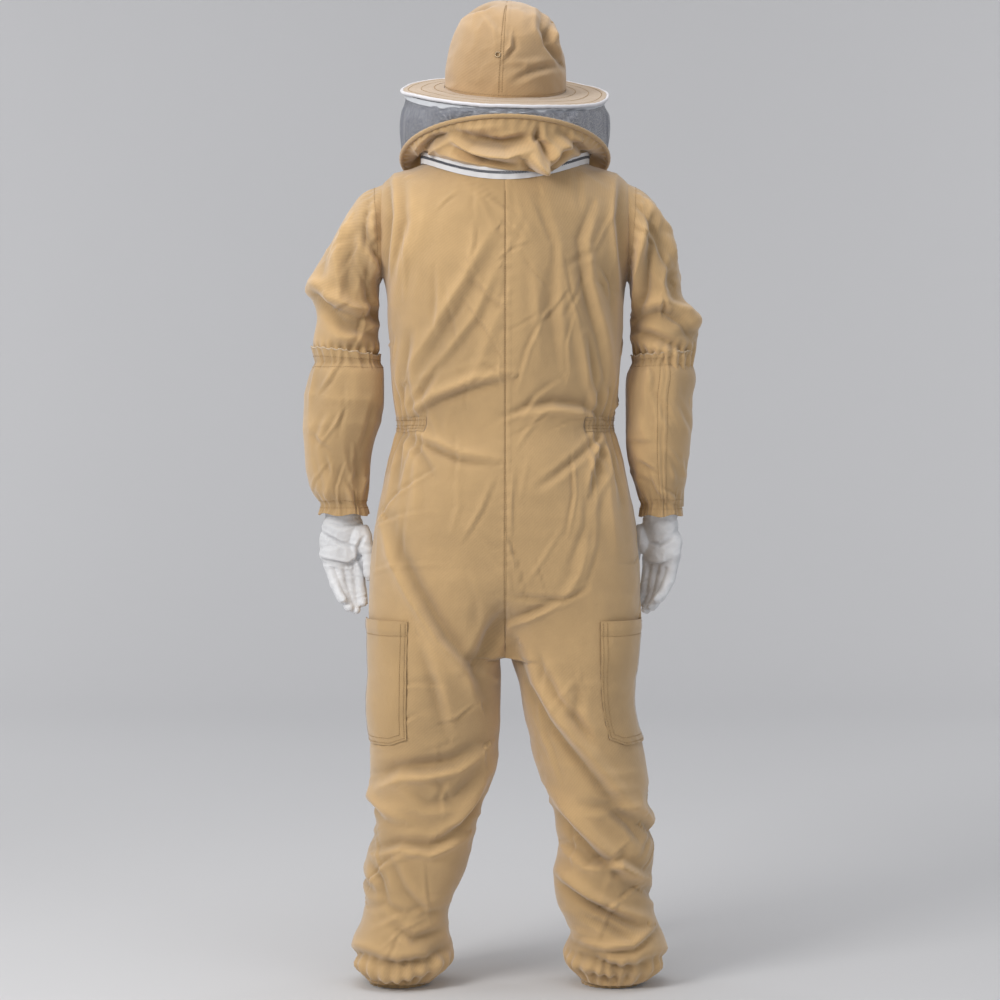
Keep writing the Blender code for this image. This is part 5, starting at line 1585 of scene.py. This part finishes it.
def build_brim():
    """The stiff brim, and the stitch lines round it. Its edge is for the piping."""
    inner, outer = BRIM_RADII
    radii = np.linspace(inner - 0.002, outer, 26)[:, None]
    share = (radii - inner) / (outer - inner)
    turn = np.radians(HAT_ANGLES)[None, :]
    sway = 0.0026 * np.sin(2 * turn + 0.7) * share + 0.0012 * np.sin(5 * turn) * share ** 2
    rise = (0.0022 - 0.0024 * share + sway + 0.0004 * np.sin(radii * TAU / 0.0105)
            + 0.0012 * bump(share, 0.0, 0.08))
    grid = tilted(radii, HAT_ANGLES[None, :], rise, BRIM_CENTRE, BRIM_TILT, HAT_ROLL)
    grid = grid + 0.0010 * wander(grid * 26, 96)[..., None] * np.array((0, 0, 1))
    brim = shell("hat_brim_cloth", grid, BRIM_CLOTH, 0.0032, True)
    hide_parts("hat_brim")
    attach(brim, "hood")
    shading = grid_normals(grid, True)
    runs = [(closed_row(grid, row), closed_row(shading, row)) for row in (6, 14, 22)]
    return grid[-1], runs


def build_piping(edge):
    """White piping round the edge of the brim."""
    sides = 14
    outwards = edge - edge.mean(axis=0)
    outwards /= np.linalg.norm(outwards, axis=1, keepdims=True)
    up = np.cross(outwards, np.roll(outwards, -1, axis=0))
    up = -up.mean(axis=0) / np.linalg.norm(up.mean(axis=0))
    ripple = 0.0002 * np.sin(np.arange(len(edge)) * 1.7)[:, None] * up
    rings = []
    for side in range(sides + 1):
        spin = -TAU * side / sides
        out = 0.0026 + 0.0030 * math.cos(spin)
        rise = 0.0031 * math.sin(spin) - 0.0022
        rings.append(edge + outwards * out + up * rise + ripple)
    piping = shell("brim_edge_piping", np.array(rings), PIPING, 0, True)
    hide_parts("brim_piping")
    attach(piping, "hood")


def build_sweatband():
    """The white band inside the crown."""
    rows = []
    for step in range(8):
        rows.append(tilted(0.1066 + 0.0006 * math.sin(step), HAT_ANGLES, -0.005 + 0.0042 * step,
                           BRIM_CENTRE, BRIM_TILT, HAT_ROLL))
    band = shell("hat_inner_band", np.array(rows)[::-1], RIBBON, 0.0012, True)
    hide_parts("hat_sweatband")
    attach(band, "hood")


def build_hat():
    """Crown, brim, stitches, piping, sweatband, and the finish of the eyelet."""
    crown_runs = build_crown()
    edge, brim_runs = build_brim()
    sew("hat_stitches", crown_runs + brim_runs, "hood")
    build_piping(edge)
    build_sweatband()
    set_material("crown_eyelet", ENAMEL)


def set_material(node_name, material):
    """Give a kept CAD node its finish."""
    for slot_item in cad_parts[node_name].material_slots:
        slot_item.material = material


def veil_edges(angles):
    """Bottom and top edges of the veil."""
    low = tilted(HOOP_RADIUS, angles, 0.0048, HOOP_CENTRE, HOOP_TILT)
    high = tilted(0.1800, angles, -0.0050, BRIM_CENTRE, BRIM_TILT, HAT_ROLL)
    return low, high


SKIRT_FOLDS = (
    ("back", "roll", -0.0120, 0.0120, ((-0.092, 1.540), (-0.056, 1.516), (0.000, 1.508), (0.048, 1.524))),
    ("back", "crease", 0.0130, 0.0085, ((-0.168, 1.506), (-0.128, 1.532), (-0.090, 1.542))),
    ("back", "crease", 0.0110, 0.0060, ((-0.080, 1.512), (-0.040, 1.494), (0.018, 1.490))),
    ("back", "ridge", 0.0100, 0.0120, ((-0.070, 1.524), (-0.026, 1.502), (0.022, 1.506))),
    ("back", "ridge", 0.0090, 0.0090, ((-0.110, 1.512), (-0.084, 1.502), (-0.050, 1.486))),
    ("back", "crease", 0.0060, 0.0050, ((-0.050, 1.530), (-0.010, 1.522), (0.030, 1.532))),
    ("back", "roll", 0.0110, 0.0100, ((0.036, 1.498), (0.066, 1.486), (0.090, 1.512), (0.126, 1.530))),
    ("back", "crease", 0.0100, 0.0070, ((0.058, 1.552), (0.056, 1.530), (0.076, 1.506), (0.070, 1.484))),
    ("back", "ridge", 0.0120, 0.0110, ((0.044, 1.512), (0.062, 1.492), (0.072, 1.478))),
    ("back", "crease", 0.0080, 0.0080, ((0.096, 1.548), (0.120, 1.526), (0.150, 1.506))),
    ("back", "ridge", 0.0060, 0.0080, ((0.100, 1.528), (0.132, 1.512), (0.164, 1.500))),
    ("back", "ridge", 0.0060, 0.0090, ((-0.104, 1.546), (-0.050, 1.548), (0.010, 1.556))),
    ("front", "roll", 0.0080, 0.0120, ((-0.120, 1.440), (-0.040, 1.430), (0.060, 1.438))),
    ("front", "crease", 0.0070, 0.0090, ((-0.060, 1.416), (0.020, 1.422), (0.110, 1.412))),
    ("right", "crease", 0.0070, 0.0100, ((-0.100, 1.520), (-0.020, 1.510), (0.070, 1.490))),
    ("left", "crease", 0.0070, 0.0100, ((-0.100, 1.520), (-0.020, 1.504), (0.070, 1.488))),
)


def neck_height(angles):
    """Height of the neck edge."""
    return height_round(angles, NECK[4], NECK[5], NECK[6])


NECK_TAPE_RADIUS, NECK_TAPE_LENGTH = 0.1532, 0.95
RING_ANGLES = even_angles(288)


def neck_band(name, low_rise, high_rise, body, node_name):
    """A strip of white tape that follows the neck edge."""
    turn = np.radians(RING_ANGLES)
    ripple = 0.0006 * np.sin(turn * 36)
    levels = []
    for rise in np.linspace(high_rise, low_rise, 4):
        levels.append(np.stack([(NECK_TAPE_RADIUS + ripple) * np.sin(turn),
                                (NECK_TAPE_RADIUS + ripple) * np.cos(turn),
                                neck_height(RING_ANGLES) + rise], axis=1))
    band = shell(name, np.array(levels), WHITE, 0.0012, True)
    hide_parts(node_name)
    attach(band, body)


# The two parts of the net: label, first and last angle, columns, flat width and height, share that is net.
NETS = (("front", -VEIL_SEAM, VEIL_SEAM, 300, 0.92, 0.17, 0.80),
        ("back", VEIL_SEAM, 360 - VEIL_SEAM, 90, 0.27, 0.04, 0.60))


def build_net(label, first, last, columns, width, tall, fill):
    """One part of the veil, slack and fluted between its hoop and the brim."""
    angles = np.linspace(first, last, columns)
    low, high = veil_edges(angles)
    share = np.linspace(1, 0, 30)[:, None]
    grid = low[None] * (1 - share[..., None]) + high[None] * share[..., None]
    turn = np.radians(angles)[None, :]
    belly = np.sin(math.pi * share)
    flute = 0.0055 * noise_at(turn * 5, share * 0.8, 0.0, 101)
    pleats = np.sin(turn * 34 + 3 * noise_at(turn * 6, 0.0, 0.0, 102))
    flute = flute + 0.0024 * pleats * smooth(belly * 1.4)
    slack = (0.0060 * belly + flute * belly ** 0.7) * smooth((0.92 - share) / 0.25)
    piece = shell("veil_net_" + label, grid + outward(turn) * slack[..., None], NET, 0, False)
    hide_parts("veil_mesh_" + label)
    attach(piece, "hood")


def build_binding():
    """The ribbon that binds the top of the veil."""
    low, high = veil_edges(RING_ANGLES)
    drop = (low - high) / np.linalg.norm(low - high, axis=1, keepdims=True)
    turn = np.radians(RING_ANGLES)
    out = outward(turn) * (0.0022 + 0.0005 * np.sin(turn * 40)[:, None])
    rows = [high + drop * down + out for down in (0.0015, 0.0045, 0.0075, 0.0105)]
    binding = shell("veil_top_ribbon", np.array(rows), RIBBON, 0.0012, True)
    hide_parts("veil_binding")
    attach(binding, "hood")


def build_hoop():
    """The wire hoop in its gathered casing."""
    gathered = 0.0040 + 0.00035 * np.sin(np.radians(RING_ANGLES) * 90)
    rings = []
    for side in range(15):
        spin = -TAU * side / 14
        rings.append(tilted(HOOP_RADIUS + gathered * math.cos(spin), RING_ANGLES, gathered * math.sin(spin),
                            HOOP_CENTRE, HOOP_TILT))
    hoop = shell("veil_hoop_casing", np.array(rings), KHAKI, 0, True)
    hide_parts("veil_hoop")
    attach(hoop, "hood")


def ring_at_neck(turn, angles, radius, rise):
    """A level-waisted ring that follows the neck edge."""
    return np.stack([radius * np.sin(turn), radius * np.cos(turn), neck_height(angles) + rise], axis=1)


def drape(grid, share):
    """Let the back of the skirt lap over the zip, with a point that hangs lower on the right."""
    behind = smooth((-grid[..., 1] - 0.05) / 0.05)
    lap = smooth((grid[..., 0] + 0.050) / 0.075) * smooth((0.130 - grid[..., 0]) / 0.045) * behind
    point = bump(grid[..., 0], 0.074, 0.030) * behind
    hang = np.clip((share - 0.35) / 0.5, 0, 1)
    tuck = smooth((1.0 - share) / 0.10)
    grid[..., 2] -= (0.007 * lap + 0.014 * point) * np.sin(math.pi * hang * 0.62) * tuck
    grid[..., 1] -= (0.008 * lap + 0.007 * point) * np.sin(math.pi * hang * 0.70) * tuck


def build_skirt():
    """The cloth of the hood between the hoop and the neck zip."""
    angles = even_angles(360)
    turn = np.radians(angles)
    top = tilted(HOOP_RADIUS - 0.003, angles, -0.002, HOOP_CENTRE, HOOP_TILT)
    middle = ring_at_neck(turn, angles, 0.1545, 0.033)
    bottom = ring_at_neck(turn, angles, 0.1515, 0.0212)
    share = np.linspace(0, 1, 40)[:, None, None]
    grid = top[None] * (1 - share) ** 2 + 2 * middle[None] * share * (1 - share) + bottom[None] * share ** 2
    share = share[..., 0]
    normals = grid_normals(grid, True)
    behind = smooth((-np.cos(turn) + 0.2) / 0.6)[None, :]
    belly = np.sin(math.pi * share)
    bent = swayed(grid, 0.015, 16, 113)
    height = draw_folds(grid, normals, SKIRT_FOLDS) * smooth(belly * 1.8)
    height += belly * (0.006 * behind + 0.0050 * wander(bent * 14, 111)
                       + 0.0026 * creased(bent, (22, 22, 40), 112))
    pleats = 0.0016 * np.sin(turn * 60 + 2 * wander(grid * 30, 116))
    height += pleats * np.exp(-share / 0.12) * smooth(share / 0.03)
    grid = grid + normals * height[..., None]
    drape(grid, share)
    skirt = shell("hood_skirt_cloth", grid, KHAKI, 0.0014, True, height)
    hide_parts("hood_skirt_front", "hood_skirt_back")
    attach(skirt, "hood")


# The section of a zip tooth, across the zip and up from the tape.
TOOTH = ((-0.0018, 0.0), (-0.0018, 0.0014), (0.0, 0.0021), (0.0018, 0.0014), (0.0018, 0.0))


def zip_teeth(name, node_name, spots, ways, ups):
    """Interlocking teeth along a line, each a small rounded block, on the body of the suit."""
    parts = []
    for index, (spot, way, up) in enumerate(zip(spots, ways, ups)):
        side = np.cross(way, up)
        lean = side * (0.0007 if index % 2 else -0.0007)
        half = way * 0.00085
        corners = []
        for along in (-1, 1):
            for across, lift in TOOTH:
                corners.append(spot + lean + half * along + side * across + up * lift)
        faces = [(0, 1, 2, 3, 4), (9, 8, 7, 6, 5)]
        for k in range(5):
            following = (k + 1) % 5
            faces.append((k, k + 5, following + 5, following))
        parts.append((corners, faces))
    points, faces = gather_parts(parts)
    teeth = make_mesh(name, np.array(points), faces, TEETH, smooth_faces=False)
    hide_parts(node_name)
    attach(teeth, "coverall")


def build_neck_zip():
    """The round zip that joins the hood: two tapes and their teeth."""
    neck_band("neck_zip_lower_tape", 0.0030, 0.0122, "coverall", "neck_zip_tape_lower")
    neck_band("neck_zip_hood_tape", 0.0172, 0.0236, "hood", "neck_zip_tape_upper")
    angles = np.arange(0, 360, 360 / 380)
    turn = np.radians(angles)
    spots = ring_at_neck(turn, angles, 0.1522, 0.0148)
    ways = np.roll(spots, -1, axis=0) - spots
    ways /= np.linalg.norm(ways, axis=1, keepdims=True)
    zip_teeth("neck_zip_row", "neck_zip_teeth", spots, ways, outward(turn))


# Across a tape of the front zip: share of its width, and how proud it lies.
TAPE_LINE = ((0, 0.0007), (0.3, 0.0009), (0.55, 0.0016), (0.8, 0.0018), (1.0, 0.0016))


def build_front_zip():
    """The zip down the front: two tapes and their teeth."""
    heights = np.arange(1.372, ZIP_BOTTOM, -0.0060)
    for word, sign in SIDES:
        rows = []
        for share, lift in TAPE_LINE:
            x = np.full(len(heights), sign * (0.0012 + 0.0125 * share))
            ripple = 0.0004 * np.sin(heights * TAU / 0.021) * share
            rows.append(np.stack([x, 0.1504 + lift + ripple, heights], axis=1))
        grid = np.array(rows).transpose(1, 0, 2)
        piece = shell("front_zip_side_tape_" + word, oriented(grid, sign), WHITE, 0.0010, False)
        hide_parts("front_zip_tape_" + word)
        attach(piece, "coverall")
    heights = np.arange(1.3715, ZIP_BOTTOM, -0.0028)
    spots = np.stack([heights * 0, heights * 0 + 0.1520, heights], axis=1)
    ways = np.tile((0.0, 0.0, -1.0), (len(heights), 1))
    ups = np.tile((0.0, 1.0, 0.0), (len(heights), 1))
    zip_teeth("front_zip_row", "front_zip_teeth", spots, ways, ups)


def build_zips():
    """Both zips, and the finish of the kept sliders and pulls."""
    build_neck_zip()
    build_front_zip()
    for node_name in ("front_zip_slider", "front_zip_pull", "neck_zip_slider_right", "neck_zip_slider_left",
                      "neck_zip_pull_right", "neck_zip_pull_left"):
        set_material(node_name, NICKEL)


def build_chest_pocket(body):
    """A patch pocket on the wearer's left chest."""
    levels = np.interp(np.arange(1.252, 1.118, -POCKET_STEP), [s[5] for s in TORSO], np.arange(len(TORSO)))
    grid = torso_rows(levels, np.linspace(20, 48, 24) / 180)
    grid[..., 0] *= -1
    grid = grid[:, ::-1]
    normals = grid_normals(grid, False)
    points = body.reshape(-1, 3)
    near = points[(points[:, 2] > 1.09) & (points[:, 2] < 1.29) & (points[:, 1] > 0.02)]
    pocket, shaped = patch_pocket("breast_pocket", grid, normals, near, POCKET, 1, 0.009)
    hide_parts("chest_pocket")
    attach(pocket, "coverall")
    runs = [edge_run(shaped, 1), edge_run(shaped, 3), hem_run(shaped, 4)]
    sew("breast_pocket_stitches", runs, "coverall")


# ---------------------------------------------------------------- stage, light and camera
def plain(name, colour, roughness):
    """A plain wall or floor with a little unevenness."""
    material, tree, shader = shader_of(name, roughness)
    tree.links.new(tint(tree, colour, noise(tree, 0.8, 2.0), 0.985, 1.015), shader.inputs["Base Color"])
    return material


def build_stage():
    """A pale floor that curves up into a pale wall."""
    wide, near, far, bend, top = 12.0, -9.0, 7.0, 2.6, 8.0
    line = [(near, -0.0005), (far - bend, -0.0005)]
    for step in range(1, 17):
        turn = math.pi / 2 * step / 16
        line.append((far - bend + bend * math.sin(turn), bend - bend * math.cos(turn)))
    line.append((far, top))
    points = [(x, y, z) for y, z in line for x in (-wide, wide)]
    faces = [(2 * k, 2 * k + 1, 2 * k + 3, 2 * k + 2) for k in range(len(line) - 1)]
    paint = plain("studio_paint", (0.62, 0.62, 0.635), 0.9)
    make_mesh("studio_sweep", np.array(points), faces, paint)


def area_light(name, place, aim, size, power, colour=(1, 1, 1)):
    """A soft rectangular light aimed at a point."""
    data = bpy.data.lights.new(name, "AREA")
    data.shape = "RECTANGLE"
    data.size, data.size_y = size
    data.energy = power
    data.color = colour
    obj = bpy.data.objects.new(name, data)
    obj.location = place
    obj.rotation_euler = (Vector(aim) - Vector(place)).to_track_quat("-Z", "Y").to_euler()
    bpy.context.scene.collection.objects.link(obj)


def build_light_and_camera():
    """Large soft lights, an even sky, and the camera behind the wearer."""
    world = bpy.data.worlds.new("studio_air")
    world.use_nodes = True
    world.node_tree.nodes["Background"].inputs["Color"].default_value = (0.97, 0.98, 1.0, 1)
    world.node_tree.nodes["Background"].inputs["Strength"].default_value = 0.38
    bpy.context.scene.world = world
    area_light("key", (-2.2, -2.3, 2.5), (-0.1, 0, 1.0), (1.3, 1.3), 72, (1.0, 0.985, 0.955))
    area_light("fill", (3.2, -3.4, 1.8), (0, 0, 0.9), (2.4, 2.4), 24, (0.95, 0.98, 1.0))
    area_light("top", (-0.3, -0.4, 4.2), (0, 0, 1.0), (2.6, 2.6), 60)
    area_light("wall_left", (-4.4, 3.0, 3.0), (-0.8, 6.8, 1.2), (2.4, 3.0), 76)
    area_light("wall_right", (4.4, 3.0, 3.0), (0.8, 6.8, 1.2), (2.4, 3.0), 66)
    camera = bpy.data.cameras.new("photo_camera")
    camera.sensor_width = 36
    distance, width, aside = 4.6, 1.83, -0.009
    eye_height, aim_height = 1.02, 0.8876
    camera.lens = camera.sensor_width * distance / width
    obj = bpy.data.objects.new("photo_camera", camera)
    aim = Vector((aside, 0.0, aim_height))
    obj.location = (aside, -distance, eye_height)
    obj.rotation_euler = (aim - Vector(obj.location)).to_track_quat("-Z", "Y").to_euler()
    bpy.context.scene.collection.objects.link(obj)
    bpy.context.scene.camera = obj
    bpy.context.scene.view_settings.view_transform = "Standard"
    bpy.context.scene.view_settings.look = "None"


def build_everything():
    """The whole visual suit."""
    halves = build_suit_cloth()
    loops = build_coverall(halves)
    build_legs(halves)
    for word, sign in SIDES:
        build_sleeve(word, sign, loops[word])
        build_gauntlet(word, sign)
        build_sleeve_cuff(word, sign)
        build_hand(word, sign)
    build_chest_pocket(halves["left"][0])
    build_hat()
    for net_part in NETS:
        build_net(*net_part)
    build_binding()
    build_hoop()
    build_skirt()
    build_zips()
    build_stage()
    build_light_and_camera()


build_everything()
